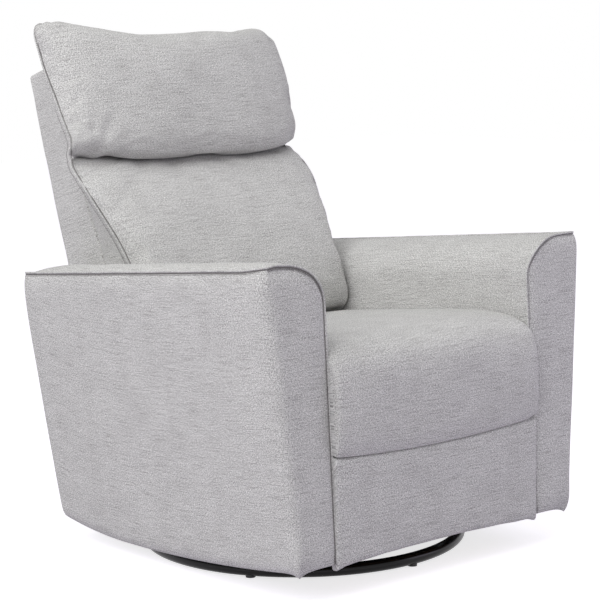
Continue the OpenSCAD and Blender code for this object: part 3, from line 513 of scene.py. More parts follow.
def buildArm(name, sideName, side, replaced):
    points, cornerUvs = [], {}
    count, middle = len(armLoop), len(armLengths) // 2
    for s in armLengths:
        points += [armPoint(kind, w, s, sideName) for kind, w in armLoop]
    place = np.array(points).reshape(len(armLengths), count, 3)
    along = np.zeros((len(armLengths), count))
    along[1:] = np.cumsum(np.linalg.norm(np.diff(place[:, :, :2], axis=0), axis=2), axis=0)
    along += place[middle, :, 1] - along[middle]
    around = np.zeros((len(armLengths), count))
    around[:, 1:] = np.cumsum(np.linalg.norm(np.diff(place[:, :, ::2], axis=1), axis=2), axis=1)
    uvs = list(zip(along.ravel(), around.ravel()))
    faces = gridFaces(len(armLengths), count)
    for index, face in enumerate(faces):
        if index % count == count - 1:
            cornerUvs[index] = [(uvs[v][0], uvs[v][1] if v % count else uvs[v - 1 + count][1] + 6)
                                for v in face]
    n, m = len(armHeights), len(armAcross)
    for base, ahead in ((0, True), ((len(armLengths) - 1) * count, False)):
        loop = [base + c for c in range(count)] + [base]
        ids = [loop[:n], loop[n - 1:n + m - 1], loop[n + m - 2:2 * n + m - 2], loop[2 * n + m - 3:]]
        patch = coonsPatch(*[np.array([[points[i][0], points[i][2]] for i in line]) for line in ids])
        grid = np.zeros((n, m), int)
        for i in range(n):
            for j in range(m):
                if j in (0, m - 1):
                    grid[i, j] = ids[2][n - 1 - i] if j else ids[0][i]
                elif i in (0, n - 1):
                    grid[i, j] = ids[1][j] if i else ids[3][m - 1 - j]
                else:
                    x, z = patch[i, j]
                    edge = armFrontY(z) if ahead else armBackY(z)
                    y = armEndY(z, x, armTopZ(edge), armBottomZ(edge), ahead)
                    grid[i, j] = len(points)
                    points.append([x, y, z])
                    uvs.append((0, 0))
        for i in range(n - 1):
            for j in range(m - 1):
                face = (grid[i, j], grid[i, j + 1], grid[i + 1, j + 1], grid[i + 1, j])
                outer = points[ids[0][i]]
                edgeU = uvs[ids[0][i]][0]
                cornerUvs[len(faces)] = [(edgeU - (outer[0] - points[v][0]) * (1 if ahead else -1),
                                          points[v][2] - points[ids[0][0]][2]) for v in face]
                faces.append(tuple(int(v) for v in face))
    points = [[side * p[0], p[1], p[2]] for p in points]
    dress(outward(meshObject(name, points, faces, uvs, cornerUvs)), "chair_body", [replaced])


def armSeamPath(sideName, side, out, up):
    # Along the top's outer edge, round the front corner, over the roll and down the inner edge
    path = [armPoint("over", 0.0, s, sideName) for s in 0.998 * np.linspace(1, 0, 170) ** 1.7]
    path = [[x + out, y, z + up] for x, y, z in path]
    edge = [armPoint("over", w, 0.0, sideName) for w in np.linspace(0.0, 1, 34)]
    edge += [armPoint("inner", w, 0.0, sideName) for w in np.linspace(0.02, 0.996, 60)]
    for k, p in enumerate(edge):
        a, b = edge[max(0, k - 1)], edge[min(len(edge) - 1, k + 1)]
        run = math.hypot(b[0] - a[0], b[2] - a[2])
        path.append([p[0] + (b[2] - a[2]) / run * up, p[1] - out, p[2] - (b[0] - a[0]) / run * up])
    path = [[side * x, y + 0.4 * waves((x, y, z), 22, 9), z + 0.6 * waves((x, y, z), 26, 3)]
            for x, y, z in path]
    return smoothPath(path, 340, 1)


def sewnEdge(name, body, cordPath, seamShadePath, thick=1.0):
    # A cord in the cover's cloth, and beside it a thin dark tube of painted shade along the ditch of its seam
    dress(tube(name + "Cord", cordPath, arm["cordRadius"] * thick), body)
    dress(tube(name + "Seam", seamShadePath, arm["seamShadeRadius"] * thick, 6), body, material=stitchThreadAndSeamShade)


sides = {"Right": -1, "Left": 1}
# Each arm gets its cord and a thin dark tube of painted shade in the seam's ditch beside it
for sideName, side in sides.items():
    buildArm("arm" + sideName + "Cover", sideName, side, "arm_cover_" + sideName.lower())
    sewnEdge("arm" + sideName, "chair_body", armSeamPath(sideName, side, 1.2, 1.6 if side < 0 else 0.9),
             armSeamPath(sideName, side, 1.3, -1.9))
print("arms made")

# Seat cushion, from its rear end over the crown and the nose down to the footrest: each row is a
# place on the side view, how far the lip's sag reaches and how far the sewn sides draw in
seat = {
    "halfWidth": 244.8, "edge": 245.3, "power": 6.0, "columns": 84, "rows": 110, "sag": 10.0,
    "springs": 351.0, "rail": -331.0, "lipZ": 232.4, "lipY": -345.0, "lipTop": 285.0,
    # Ripples: how far, how long, and the half width they stay within, all above one height
    "ripples": [(3.0, 110, 232), (0.8, 40, 240)], "rippleFrom": 262.0,
    # The lip rises a little where it is tucked in on the sitter's left
    "tuck": {"rise": 5.0, "from": 221.0, "run": 16.0, "fade": 50.0},
    "line": [[147.5, 352, 0, 2], [147.5, 369, 0, 8], [145, 384, 0, 14], [131, 394.5, 0, 20],
             [101, 399, 0, 22], [43, 406, 0, 22], [-41, 416.5, 0, 22], [-141, 427, 0, 22],
             [-231, 434, 0, 22], [-294, 434, 0, 22], [-333, 425.5, 0, 20], [-360, 409, 0, 19],
             [-373, 386, 0, 18], [-378.5, 358, 0, 17], [-380, 325, 0, 16], [-379.5, 295, 0.1, 14],
             [-378, 270, 0.5, 11], [-375, 250, 0.85, 7], [-371, 238, 1, 4], [-366.5, 233, 1, 2.5],
             [-360, 238.5, 1, 2], [-352, 247, 0.5, 2], [-338, 250, 0.2, 2], [-331, 262, 0, 2]],
}


def seamSag(x):
    return seat["sag"] * min(1.1, abs(x) / 240) ** 2


def seatInner(x, y, z):
    # The cushion's underside lies on the springs, and its apron hangs before the front rail
    if z < seat["springs"]:
        low = max(0.0, (z - 236) / 34)
        y = between(min(y + 3, seat["rail"]), seat["rail"], min(1.0, low))
        return [x * 0.999, y, min(z, seat["springs"] - 2)]
    return [x * 0.999, max(seat["rail"], y), seat["springs"]]


def buildSeat():
    line = smoothLine(seat["line"], seat["rows"])
    along = np.gradient(line[:, :2], axis=0)
    along /= np.linalg.norm(along, axis=1)[:, None]
    inward = np.stack([-along[:, 1], along[:, 0]], 1)
    walk = walkAlong(line[:, :2])
    across = towardsEdges(seat["columns"])
    points, uvs = [], []
    for i, (y, z, sag, draw) in enumerate(line):
        for t in across:
            k = drawnShare(t, seat["power"]) * draw
            x = t * seat["halfWidth"]
            points.append([x, y + k * inward[i][0], z + k * inward[i][1] + sag * seamSag(x)])
        arc = walkAlong(np.array(points[-len(across):]))
        uvs += [(u - arc[-1] / 2, walk[i]) for u in arc]
    # A second sheet closes the first one behind
    rows, cols, start = len(line), len(across), len(points)
    points += [seatInner(*p) for p in points]
    faces = gridFaces(rows, cols, around=False)
    faces += [tuple(start + i for i in reversed(face)) for face in faces]
    rim = [*range(cols), *[r * cols + cols - 1 for r in range(1, rows)]]
    rim += [(rows - 1) * cols + c for c in range(cols - 2, -1, -1)]
    rim += [r * cols for r in range(rows - 2, 0, -1)]
    for a, b in zip(rim, rim[1:] + rim[:1]):
        faces.append((a, b, start + b, start + a))
    return outward(meshObject("seatCushion", points, faces, uvs + uvs))


def tuckLip(obj):
    # Points that neither rule moves keep their exact place
    tuck = seat["tuck"]
    for v in obj.data.vertices:
        x, y, z = (c * 1000 for c in v.co)
        x = max(-seat["edge"], min(seat["edge"], x))
        if y < seat["lipY"]:
            if z < seat["lipTop"]:
                share = clamped((x - tuck["from"]) / tuck["run"])
                z += tuck["rise"] * share * (seat["lipTop"] - z) / tuck["fade"]
            z = max(seat["lipZ"] + seamSag(x), z)
        v.co = (x / 1000, y / 1000, z / 1000)


seatCushion = buildSeat()
tuckLip(seatCushion)
for seed, (amount, size, half) in enumerate(seat["ripples"], 11):
    ripple(seatCushion, amount, size, seed,
           lambda p: 0.0 if p.z < seat["rippleFrom"] or abs(p.x) > half else 1.0)
subdivide(seatCushion)
dress(seatCushion, "chair_body", ["seat_cushion", "seat_front_pad"])
print("seat made")

# Back cushions, in the backrest's own frame: depth behind the pivot, then height up the back
lean = math.radians(17.3)
back = {"pivotY": 170.0, "pivotZ": 330.0, "cos": math.cos(lean), "sin": math.sin(lean)}


def onBack(x, depth, height):
    return [x, back["pivotY"] + depth * back["cos"] + height * back["sin"],
            back["pivotZ"] - depth * back["sin"] + height * back["cos"]]


def toBack(p):
    # World millimetres to the backrest's own depth and height
    y, z = p[1] - back["pivotY"], p[2] - back["pivotZ"]
    return p[0], y * back["cos"] - z * back["sin"], y * back["sin"] + z * back["cos"]


# Each row is the middle line's depth and height, the sewn side line's depth and height, the half
# width at the sewn line and how square the cushion is there
headCushion = {
    "rows": 76, "fronts": 64, "ears": {-1: 28.0, 1: 4.0},
    "line": [[78, 416, 74, 418, 240, 2.6], [50, 415.5, 52, 419, 250, 2.6], [34, 411, 38, 420, 266, 2.6],
             [18, 402, 27, 421, 281, 2.6], [4, 395.5, 20, 423, 285, 2.8], [-9, 395, 16, 430, 285, 3],
             [-20, 404, 13, 441, 285, 3], [-27, 424, 15, 452, 285, 2.8], [-31, 455, 20, 470, 285, 2.6],
             [-33, 495, 28, 500, 285, 2.5], [-33, 532, 36, 535, 285, 2.5], [-31, 566, 45, 567, 285, 2.5],
             [-25, 598, 52, 598, 285, 2.5], [-13, 627, 53, 624, 284.5, 2.5], [4, 644, 52, 640, 282, 2.6],
             [22, 653, 52, 652, 275, 2.8], [40, 657, 55, 659, 264, 3], [58, 656, 61, 660, 248, 3.4],
             [78, 650, 76, 656, 238, 3.6]],
}
lumbarCushion = {
    "rows": 84, "fronts": 64, "ears": {-1: 0.0, 1: 0.0},
    "line": [[76, 53, 72, 54, 243, 6], [30, 52, 36, 52.5, 243.4, 6], [-14, 51.5, 6, 52, 243.4, 6],
             [-48, 54, -20, 54.5, 243.4, 7], [-67, 62, -34, 63, 243.6, 8], [-78, 78, -42, 79, 244.2, 8],
             [-83, 108, -44, 108, 244.4, 7], [-82, 147, -42, 147, 244.4, 6], [-75, 194, -33, 195, 246, 5],
             [-62, 245, -24, 245, 256, 4], [-44, 295, -11, 293, 268, 3.2], [-20, 342, 2, 338, 279, 2.8],
             [1, 374, 15, 371, 284, 2.6], [20, 395, 24, 396, 285, 2.6], [36, 409, 34, 411, 280, 2.6],
             [52, 417, 48, 416, 264, 2.6], [77, 420, 70, 418, 242, 2.6]],
}
boxing = [0.1, 0.25, 0.42, 0.58, 0.7, 0.76, 0.82, 0.9, 1.0]
# Depth of the crease between the cushions' boxing and the shell, by height up the back
creaseLine = ([54, 200, 300, 400, 600], [32, 37, 46, 53, 66])


def boxingPoint(half, sideY, sideZ, share):
    # The boxing strip runs back from the sewn line and dives into the crease before the shell
    crease = max(sideY + 8, np.interp(sideZ, *creaseLine))
    level = np.interp(sideZ, [240, 330], [244.6, 248.0])
    floor = np.interp(sideZ, [200, 270, 340], [239.5, 241.5, 247.0])
    if share < 0.76:
        w = share / 0.76
        bulge = 1.5 * math.sin(math.pi * w) * clamped((half - 245) / 20)
        return [between(half, level, w ** 1.3) + bulge, between(sideY, crease, w), sideZ]
    w = (share - 0.76) / 0.24
    return [between(level, floor, min(1.0, w * 1.6) ** 0.7), between(crease, 76, w ** 1.4), sideZ]


def pulledIn(t, height):
    # On the sitter's left the seam draws both cushions in round the fold
    return 24 * bell(height, 426, 76) if t > 0 else 0.0


def earOut(t, height):
    return 9 * bell(height, 652, 26) if t < 0 else 0.0


# The head cushion's top edge rises to a broad ear on the sitter's right and rounds off on the left
earShape = {-1: ([0.25, 0.36, 0.48, 0.6, 0.72, 0.8, 0.88, 0.95, 1.0],
                 [0, 0.16, 0.35, 0.54, 0.74, 0.88, 1, 0.98, 0.84]),
            1: ([0.6, 0.75, 0.88, 0.94, 1.0], [0, 0.8, 0.9, -0.6, -3.2])}


def earLift(form, t, height):
    side = -1 if t < 0 else 1
    ear = form["ears"][side] * clamped((height - 560) / 90) ** 2
    # The fold also sags between its two ends
    sag = bell(height, 426, 15) * (7 * bell(t, -0.68, 0.26) - 4 * max(0.0, t) ** 3)
    return ear * np.interp(min(1.0, abs(t)), *earShape[side]) + sag


def buildBackCushion(name, form):
    line = smoothLine(form["line"], form["rows"])
    walk = walkAlong(line[:, :2])
    front = towardsEdges(form["fronts"])
    points, uvs = [], []
    for i, (midY, midZ, sideY, sideZ, half, power) in enumerate(line):
        row = []
        for t in front:
            wide = half - pulledIn(t, sideZ) + earOut(t, sideZ) * abs(t) ** 3
            row.append([wide * t, between(midY, sideY, drawnShare(t, power)),
                        between(midZ, sideZ, abs(t) ** 5) + earLift(form, t, sideZ)])
        edges = {s: [boxingPoint(half - pulledIn(s, sideZ) + earOut(s, sideZ), sideY, sideZ, share)
                     for share in boxing] + [[234, 79, sideZ]] for s in (-1, 1)}
        rear = [[x, 80.4, between(midZ, sideZ, (abs(x) / half) ** 5)] for x in (200, 100, 0, -100, -200)]
        row += [[x, y, z + earLift(form, 1, sideZ)] for x, y, z in edges[1]]
        row += [[x, y, z + earLift(form, x / 290, sideZ)] for x, y, z in rear]
        row += [[-x, y, z + earLift(form, -1, sideZ)] for x, y, z in reversed(edges[-1])]
        walked = -half
        for k, p in enumerate(row):
            walked += math.dist(p, row[k - 1]) if k else 0.0
            points.append(onBack(*p))
            uvs.append((walked, walk[i]))
    cols = len(row)
    faces = gridFaces(len(line), cols)
    cornerUvs = {}
    for index, face in enumerate(faces):
        if index % cols == cols - 1:
            cornerUvs[index] = [(uvs[v][0] if v % cols else uvs[v - 1 + cols][0] + 12, uvs[v][1])
                                for v in face]
    faces += endFaces(len(line), cols)
    return outward(meshObject(name, points, faces, uvs, cornerUvs)), line, cols


def sewnPoints(form, cols):
    # The sewn lines, the boxing, the rear and the two ends stay put while the front panel fills out
    return [r * cols + c for r in range(form["rows"]) for c in range(cols)
            if c < 1 or c > form["fronts"] - 2 or r < 3 or r > form["rows"] - 4]


# Tucks where the fold's ends are sewn down, and creases that run out from them: place across and up
# the back, direction, length, width and depth in millimetres
headTucks = [(-234, 404, 100, 15, 10, 34), (-262, 412, 4, 30, 8, 4), (-222, 448, 56, 44, 9, 5.5),
             (-244, 462, 80, 36, 8, 4.5), (245, 418, 60, 18, 14, 9), (-266, 470, 78, 40, 8, 3),
             (262, 640, 60, 26, 8, 4), (-252, 655, 40, 24, 9, 4), (-262, 560, 12, 26, 7, 2.5),
             (-200, 424, 20, 60, 10, 2.5)]
lumbarTucks = [(-262, 398, 8, 34, 6, 6), (-236, 388, 24, 40, 8, 4), (262, 398, -8, 30, 6, 5),
               (-205, 330, 38, 70, 12, 3), (215, 300, -40, 70, 12, 3), (-60, 378, 4, 90, 14, 2.5)]


def pressTucks(obj, tucks):
    for v in obj.data.vertices:
        x, depth, height = toBack(v.co * 1000)
        if depth > 60:
            continue
        push = 0.0
        for atX, atZ, angle, length, width, deep in tucks:
            a = math.radians(angle)
            dx, dz = x - atX, height - atZ
            u, w = dx * math.cos(a) + dz * math.sin(a), dz * math.cos(a) - dx * math.sin(a)
            push += deep * bell(u, 0, length) * bell(w, 0, width)
        # Outside the deep tuck the lip is sewn up and back to the cord
        flap = 0.0
        if obj.name == "headCushion":
            flap = clamped((-229 - x) / 13) * bell(max(height, 402), 402, 22)
        push += 13 * flap
        v.co.y += (push * back["cos"] + 4 * flap * back["sin"]) / 1000
        v.co.z += (4 * flap * back["cos"] - push * back["sin"]) / 1000
    obj.data.update()


for name, form, replaced, tucks, seed in (("lumbarCushion", lumbarCushion, "lumbar_cushion", lumbarTucks, 22),
                                          ("headCushion", headCushion, "head_cushion", headTucks, 21)):
    cushion, line, cols = buildBackCushion(name, form)
    fillOut(cushion, sewnPoints(form, cols))
    pressTucks(cushion, tucks)
    ripple(cushion, 4.0, 120, seed, lambda p: 1.0 if abs(p.x) < 235 else 0.12)
    ripple(cushion, 1.0, 42, 23, lambda p: 1.0 if abs(p.x) < 240 else 0.3)
    subdivide(cushion)
    dress(cushion, "backrest", [replaced])
    form["seams"] = line
print("back cushions made")


def backSeamPath(side, push, inset, forward=0.0):
    # Up the sewn side line of both cushions, sunk in where the fold draws it back
    path = []
    for _, _, depth, height, wide, _ in [*lumbarCushion["seams"][8:-9], *headCushion["seams"][10:-6]]:
        ear = earLift(headCushion, side, height) if height > 422 else 0.0
        hidden = 17 * bell(height, 411, 20) if side > 0 else 0.0
        dive = (7 if side < 0 else 16) * bell(height, 408, 18)
        wide += earOut(side, height) - pulledIn(side, height) - hidden
        path.append(onBack(side * (wide + push - inset), depth - inset * 0.7 - forward + dive, height + ear))
    return smoothPath(path, 260)


# Each side of the back cushions gets its cord and a thin dark tube of painted shade in the seam's ditch
# beside it
for sideName, side in sides.items():
    sewnEdge("back" + sideName, "backrest", backSeamPath(side, 1.5, 0.0, 0.9),
             backSeamPath(side, 1.1, 2.2, 1.5), 0.85)

# Back shell: one fabric cover round the backrest's rear, sides and top
shell = {"halfWidth": 242.8, "frontY": 67.0, "rearY": 161.0, "low": -45.0, "sideLow": 54.0, "top": 610.0,
         "wall": 4.6, "radius": 7.0, "halves": ([250, 330], [244.7, 249.0]),
         "rears": ([120, 230, 330, 600], [153.5, 167.0, 164.5, 157.5])}


def buildShell():
    bm = bmesh.new()
    xs = [-shell["halfWidth"], shell["halfWidth"]]
    ys = [shell["frontY"], shell["rearY"]]
    zs = [shell["low"], shell["sideLow"], shell["top"]]
    vert = {f"{i}{j}{k}": bm.verts.new((xs[i], ys[j], zs[k])) for i in (0, 1) for j in (0, 1)
            for k in (0, 1, 2) if not (j == 0 and k == 0)}
    # A corner is named by its side, front or rear, and height
    for panel in ("010 011 111 110", "011 012 112 111", "001 002 012 011", "101 111 112 102",
                  "002 102 112 012"):
        bm.faces.new([vert[corner] for corner in panel.split()])
    bmesh.ops.recalc_face_normals(bm, faces=bm.faces)
    if sum((f.calc_center_median() - Vector((0, 110, 300))).dot(f.normal) for f in bm.faces) < 0:
        bmesh.ops.reverse_faces(bm, faces=bm.faces)
    rounded = [bm.edges.get([vert[corner] for corner in edge.split()])
               for edge in ("011 012", "111 112", "012 112", "002 012", "102 112")]
    bmesh.ops.bevel(bm, geom=rounded, offset=shell["radius"], segments=6, profile=0.5, affect="EDGES")
    long = [e for e in bm.edges if e.calc_length() > 60]
    bmesh.ops.subdivide_edges(bm, edges=long, cuts=15, use_grid_fill=True)
    mesh = bpy.data.meshes.new("backShell")
    bm.to_mesh(mesh)
    bm.free()
    flat = []
    for x, y, z in (v.co for v in mesh.vertices):
        front = np.interp(z, *creaseLine) + 9 if z < 560 else 78
        share = (y - shell["frontY"]) / (shell["rearY"] - shell["frontY"])
        rear = np.interp(z, *shell["rears"])
        flat.append([x * np.interp(z, *shell["halves"]) / shell["halfWidth"],
                     between(front if z > 40 else shell["frontY"], rear, share), z])
    obj = meshObject("backShell", [onBack(*v) for v in flat], [tuple(p.vertices) for p in mesh.polygons])
    layer = obj.data.uv_layers.new(name="cloth")
    for polygon in obj.data.polygons:
        flank = abs(polygon.normal.x) > 0.7
        for loop in polygon.loop_indices:
            x, y, z = flat[obj.data.loops[loop].vertex_index]
            u, v = (y, z) if flank else (x, z + shell["rearY"] - y)
            layer.data[loop].uv = (u / 1000, v / 1000)
    return obj


backShell = buildShell()
ripple(backShell, 1.6, 90, 31)
ripple(backShell, 0.5, 30, 32)
wall = backShell.modifiers.new("wall", "SOLIDIFY")
wall.thickness = shell["wall"] / 1000
wall.offset = -1.0
dress(backShell, "backrest",
      ["back_rear_panel", "back_side_panel_left", "back_side_panel_right", "back_cap_panel"])
print("back shell made")


# Flat panels: a closed profile in the side view, with rounded corners, carried across with soft ends
footrest = {"half": 245.0, "rows": 130, "columns": 72, "endRound": 4.0, "front": -352.0,
            "hang": 7.0, "cornerHang": 5.0, "stuffing": 3.2, "ripples": (1.2, 0.4), "tuck": 5.0,
            "hemWave": 1.6,
            "corners": [[-367, 62], [-367, 235], [-350.4, 235], [-350.4, 62]], "radii": [9, 8, 3, 3]}
apron = {"half": 245.2, "rows": 90, "columns": 50, "endRound": 3.0, "waviness": 1.2,
         "corners": [[297, 49], [312.5, 48.5], [329.6, 254.0], [314.5, 246.5], [297.2, 122]],
         "radii": [3, 3, 4, 3, 3]}


def roundedLoop(corners, radii):
    out = []
    for i, corner in enumerate(corners):
        p = np.array(corner, float)
        a = np.array(corners[i - 1], float) - p
        b = np.array(corners[(i + 1) % len(corners)], float) - p
        runA, runB = np.linalg.norm(a), np.linalg.norm(b)
        radius = min(radii[i], runA / 2.1, runB / 2.1)
        start, end = p + a / runA * radius, p + b / runB * radius
        for t in np.linspace(0, 1, 6):
            out.append((1 - t) ** 2 * start + 2 * t * (1 - t) * p + t ** 2 * end)
    return np.array(out + out[:1])


def panelAcross(name, panel):
    line = respaced(roundedLoop(panel["corners"], panel["radii"]), panel["rows"], endpoint=False)
    centre, walk = line.mean(axis=0), walkAlong(line)
    points, uvs = [], []
    for t in towardsEdges(panel["columns"]):
        inset = min(1.0, drawnShare(t, 12)) * panel["endRound"]
        for i, (y, z) in enumerate(line):
            drawnY = y + max(-inset, min(inset, centre[0] - y))
            drawnZ = z + max(-inset, min(inset, centre[1] - z))
            points.append([t * panel["half"], drawnY, drawnZ])
            uvs.append((t * panel["half"], walk[i]))
    count = panel["columns"]
    faces = gridFaces(count, len(line)) + endFaces(count, len(line))
    return outward(meshObject(name, points, faces, uvs))


footrestPad = panelAcross("footrestPad", footrest)
for v in footrestPad.data.vertices:
    # The top edge follows the seat's lip, the lower corners hang a little, and the front is stuffed
    x, y, z = v.co * 1000
    upper, lower = max(0.0, (z - 190) / 45), max(0.0, (100 - z) / 38)
    hang = footrest["hang"] * (abs(x) / 240) ** 2 + footrest["cornerHang"] * max(0.0, (abs(x) - 226) / 19)
    v.co.z += (seamSag(x) * upper - hang * lower) / 1000
    if y < footrest["front"]:
        middle = rise(240 - z, 14) * rise(z - 60, 14) * rise(245 - abs(x), 9)
        broad, fine = waves((x, 0, z), 60, 42), waves((x, 0, z), 21, 43)
        swell = footrest["stuffing"] * middle + footrest["ripples"][0] * broad + footrest["ripples"][1] * fine
        tuck = bell(x, 232, 11) * bell(z, 236, 9) + bell(x, -222, 14) * bell(z, 238, 7)
        v.co.y += (footrest["tuck"] * tuck - swell) / 1000
    v.co.z += footrest["hemWave"] * waves((x, y, 0), 45, 44) * min(1.0, lower) / 1000
footrestPad.data.update()
dress(footrestPad, "footrest_panel", ["footrest_pad"])

rearApron = panelAcross("rearApron", apron)
ripple(rearApron, apron["waviness"], 70, 51)
ripple(rearApron, apron["waviness"] * 0.35, 24, 52)
dress(rearApron, "chair_body", ["rear_apron"])
print("footrest and apron made")


# What repeats along a line: stitches and staples, set out by one node tree
def repeatTree():
    tree = bpy.data.node_groups.new("repeatAlongLine", "GeometryNodeTree")
    tree.interface.new_socket("Line", in_out="INPUT", socket_type="NodeSocketGeometry")
    for name, kind in (("Pitch", "Float"), ("Length", "Float"), ("Radius", "Float"), ("Sides", "Int"),
                       ("Spread", "Float"), ("Seed", "Int"), ("Material", "Material")):
        tree.interface.new_socket(name, in_out="INPUT", socket_type="NodeSocket" + kind)
    tree.interface.new_socket("Pieces", in_out="OUTPUT", socket_type="NodeSocketGeometry")
    given = addNode(tree, "NodeGroupInput").outputs
    curve = addNode(tree, "GeometryNodeMeshToCurve", inputs={"Mesh": given["Line"]})
    spaced = addNode(tree, "GeometryNodeResampleCurve", {"mode": "LENGTH"},
                     {"Curve": curve.outputs["Curve"], "Length": given["Pitch"]})
    piece = addNode(tree, "GeometryNodeMeshCylinder", {"fill_type": "NGON"},
                    {"Vertices": given["Sides"], "Radius": given["Radius"], "Depth": given["Length"]})
    tangent = addNode(tree, "GeometryNodeInputTangent")
    turned = addNode(tree, "FunctionNodeAlignRotationToVector", {"axis": "Z"},
                     {"Vector": tangent.outputs["Tangent"]})
    least = addNode(tree, "ShaderNodeMath", {"operation": "SUBTRACT"}, {0: 1.0, 1: given["Spread"]})
    most = addNode(tree, "ShaderNodeMath", {"operation": "ADD"}, {0: 1.0, 1: given["Spread"]})
    size = addNode(tree, "FunctionNodeRandomValue", {"data_type": "FLOAT"},
                   {2: least.outputs[0], 3: most.outputs[0], "Seed": given["Seed"]})
    placed = addNode(tree, "GeometryNodeInstanceOnPoints",
                     inputs={"Points": spaced.outputs["Curve"], "Instance": piece.outputs["Mesh"],
                             "Rotation": turned.outputs["Rotation"], "Scale": size.outputs[1]})
    real = addNode(tree, "GeometryNodeRealizeInstances", inputs={"Geometry": placed.outputs["Instances"]})
    finished = addNode(tree, "GeometryNodeSetMaterial",
                       inputs={"Geometry": real.outputs["Geometry"], "Material": given["Material"]})
    addNode(tree, "NodeGroupOutput", inputs={"Pieces": finished.outputs["Geometry"]})
    return tree


repeatAlongLine = repeatTree()


def setOut(name, paths, look, body, material):
    points, edges = [], []
    for path in paths:
        edges += [(len(points) + i, len(points) + i + 1) for i in range(len(path) - 1)]
        points += [[c / 1000 for c in p] for p in path]
    mesh = bpy.data.meshes.new(name + "Line")
    mesh.from_pydata(points, edges, [])
    line = newObject(name + "Line", mesh)
    modifier = line.modifiers.new("repeat", "NODES")
    modifier.node_group = repeatAlongLine
    values = {**look, "Material": material}
    for length in ("Pitch", "Length", "Radius"):
        values[length] /= 1000
    for item in repeatAlongLine.interface.items_tree:
        if item.item_type == "SOCKET" and item.name in values:
            modifier[item.identifier] = values[item.name]
    plain = bpy.data.meshes.new_from_object(line.evaluated_get(bpy.context.evaluated_depsgraph_get()))
    line.modifiers.remove(modifier)
    bpy.data.objects.remove(line)
    dress(newObject(name, plain), body, material=material)


welt = {"Pitch": 4.6, "Length": 3.2, "Radius": 0.55, "Sides": 6, "Spread": 0.12, "Seed": 5}
staple = {"Pitch": 38.0, "Length": 10.0, "Radius": 0.7, "Sides": 4, "Spread": 0.02, "Seed": 8}
setOut("armStitches", [armSeamPath(name, side, 1.9, -4.4) for name, side in sides.items()], welt,
       "chair_body", stitchThreadAndSeamShade)
backLines = [[p + [side * 1.2, 7.5, -2.0] for p in backSeamPath(side, 1.4, 0.0)[:190]] for side in (-1, 1)]
setOut("backStitches", backLines, welt, "backrest", stitchThreadAndSeamShade)
hemLines = []
for name, side in sides.items():
    hem = [armPoint("under", 0.4, s, name) for s in np.linspace(0.05, 0.95, 60)]
    hemLines.append([[side * x, y, z - 0.5] for x, y, z in hem])
setOut("hemStaples", hemLines, staple, "chair_body", zincSteel)
print("stitches and staples made")


# Stage: floor, light and camera
stage = {
    "world": 0.43, "floor": "#CFCAD6", "floorHalf": 9000.0, "floorLift": 0.74,
    "lamps": {
        "keyLamp": {"place": (-2.8, -0.6, 3.1), "target": (0, 0, 0.45), "size": 3.8, "power": 113.0,
                    "colour": "#FFFFFF"},
        "topLamp": {"place": (0.2, -0.9, 3.6), "target": (0, -0.1, 0.4), "size": 2.6, "power": 13.0,
                    "colour": "#FFFFFF"},
        "fillLamp": {"place": (1.7, -1.6, 0.9), "target": (0.3, -0.3, 0.4), "size": 1.2, "power": 9.0,
                     "colour": "#DDD5EE"},
    },
}


def seenBy(tree, *rays):
    # 1 for what the camera, a reflection or clear material shows, 0 for the light on the object
    path = addNode(tree, "ShaderNodeLightPath").outputs
    seen = path[rays[0]]
    for ray in rays[1:]:
        seen = addNode(tree, "ShaderNodeMath", {"operation": "MAXIMUM"}, {0: seen, 1: path[ray]}).outputs[0]
    return seen


def makeFloor():
    half = stage["floorHalf"]
    corners = [[-half, -half, 0], [half, -half, 0], [half, half, 0], [-half, half, 0]]
    floor = meshObject("floor", corners, [(0, 1, 2, 3)])
    material, tree, shader = newMaterial("paleFloor")
    lift = addNode(tree, "ShaderNodeMath", {"operation": "MULTIPLY"},
                   {0: seenBy(tree, "Is Camera Ray", "Is Glossy Ray"), 1: stage["floorLift"]})
    feed(tree, shader, {"Base Color": linearColour(stage["floor"]), "Roughness": 0.9,
                        "Specular IOR Level": 0.0, "Emission Color": (1, 1, 1, 1),
                        "Emission Strength": lift.outputs[0]})
    floor.data.materials.append(material)


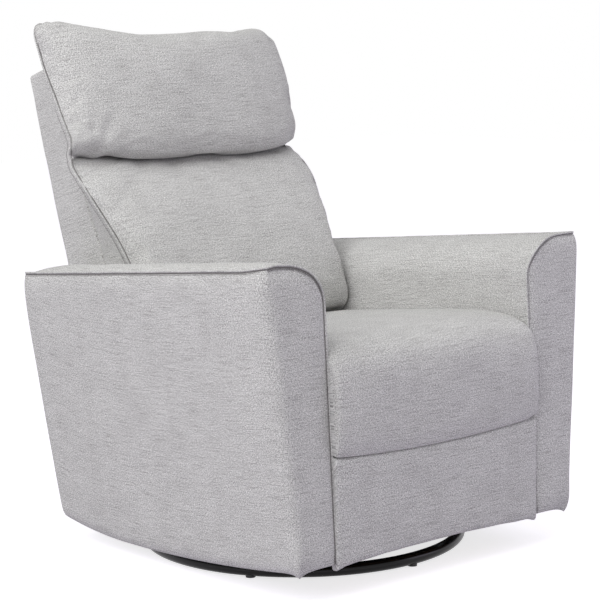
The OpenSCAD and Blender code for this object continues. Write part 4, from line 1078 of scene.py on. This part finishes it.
def makeWorld():
    world = bpy.data.worlds.new("studio")
    world.use_nodes = True
    tree = world.node_tree
    seen = seenBy(tree, "Is Camera Ray", "Is Glossy Ray", "Is Transmission Ray")
    level = addNode(tree, "ShaderNodeMapRange",
                    inputs={"Value": seen, "To Min": stage["world"], "To Max": 1.0})
    feed(tree, tree.nodes["Background"], {"Color": (1, 1, 1, 1), "Strength": level.outputs["Result"]})
    bpy.context.scene.world = world


def makeLamp(name, look):
    lamp = bpy.data.lights.new(name, "AREA")
    lamp.shape = "SQUARE"
    lamp.size = look["size"]
    lamp.energy = look["power"]
    lamp.color = linearColour(look["colour"])[:3]
    obj = newObject(name, lamp)
    obj.location = look["place"]
    aim = Vector(look["target"]) - Vector(look["place"])
    obj.rotation_euler = aim.to_track_quat("-Z", "Y").to_euler()


makeFloor()
makeWorld()
for name, look in stage["lamps"].items():
    makeLamp(name, look)

camera = {"azimuth": -41.0, "elevation": 8.0, "roll": -1.0, "distance": 3.790, "height": 0.45,
          "focalPixels": 2040.0, "imagePixels": 600, "sensor": 36.0}


def makeCamera():
    a, e, r = (math.radians(camera[k]) for k in ("azimuth", "elevation", "roll"))
    outOf = Vector((math.sin(a) * math.cos(e), -math.cos(a) * math.cos(e), math.sin(e)))
    right = Vector((math.cos(a), math.sin(a), 0))
    up = outOf.cross(right)
    rolledRight = right * math.cos(r) + up * math.sin(r)
    rolledUp = up * math.cos(r) - right * math.sin(r)
    data = bpy.data.cameras.new("photoCamera")
    data.sensor_width = camera["sensor"]
    data.lens = camera["focalPixels"] * camera["sensor"] / camera["imagePixels"]
    data.clip_start, data.clip_end = 0.1, 60
    obj = newObject("photoCamera", data)
    obj.location = Vector((0, 0, camera["height"])) + outOf * camera["distance"]
    obj.rotation_mode = "QUATERNION"
    turn = Matrix([[rolledRight[i], rolledUp[i], outOf[i]] for i in range(3)])
    obj.rotation_quaternion = turn.to_quaternion()
    bpy.context.scene.camera = obj


makeCamera()
bpy.context.scene.view_settings.view_transform = "Standard"
print("stage made")
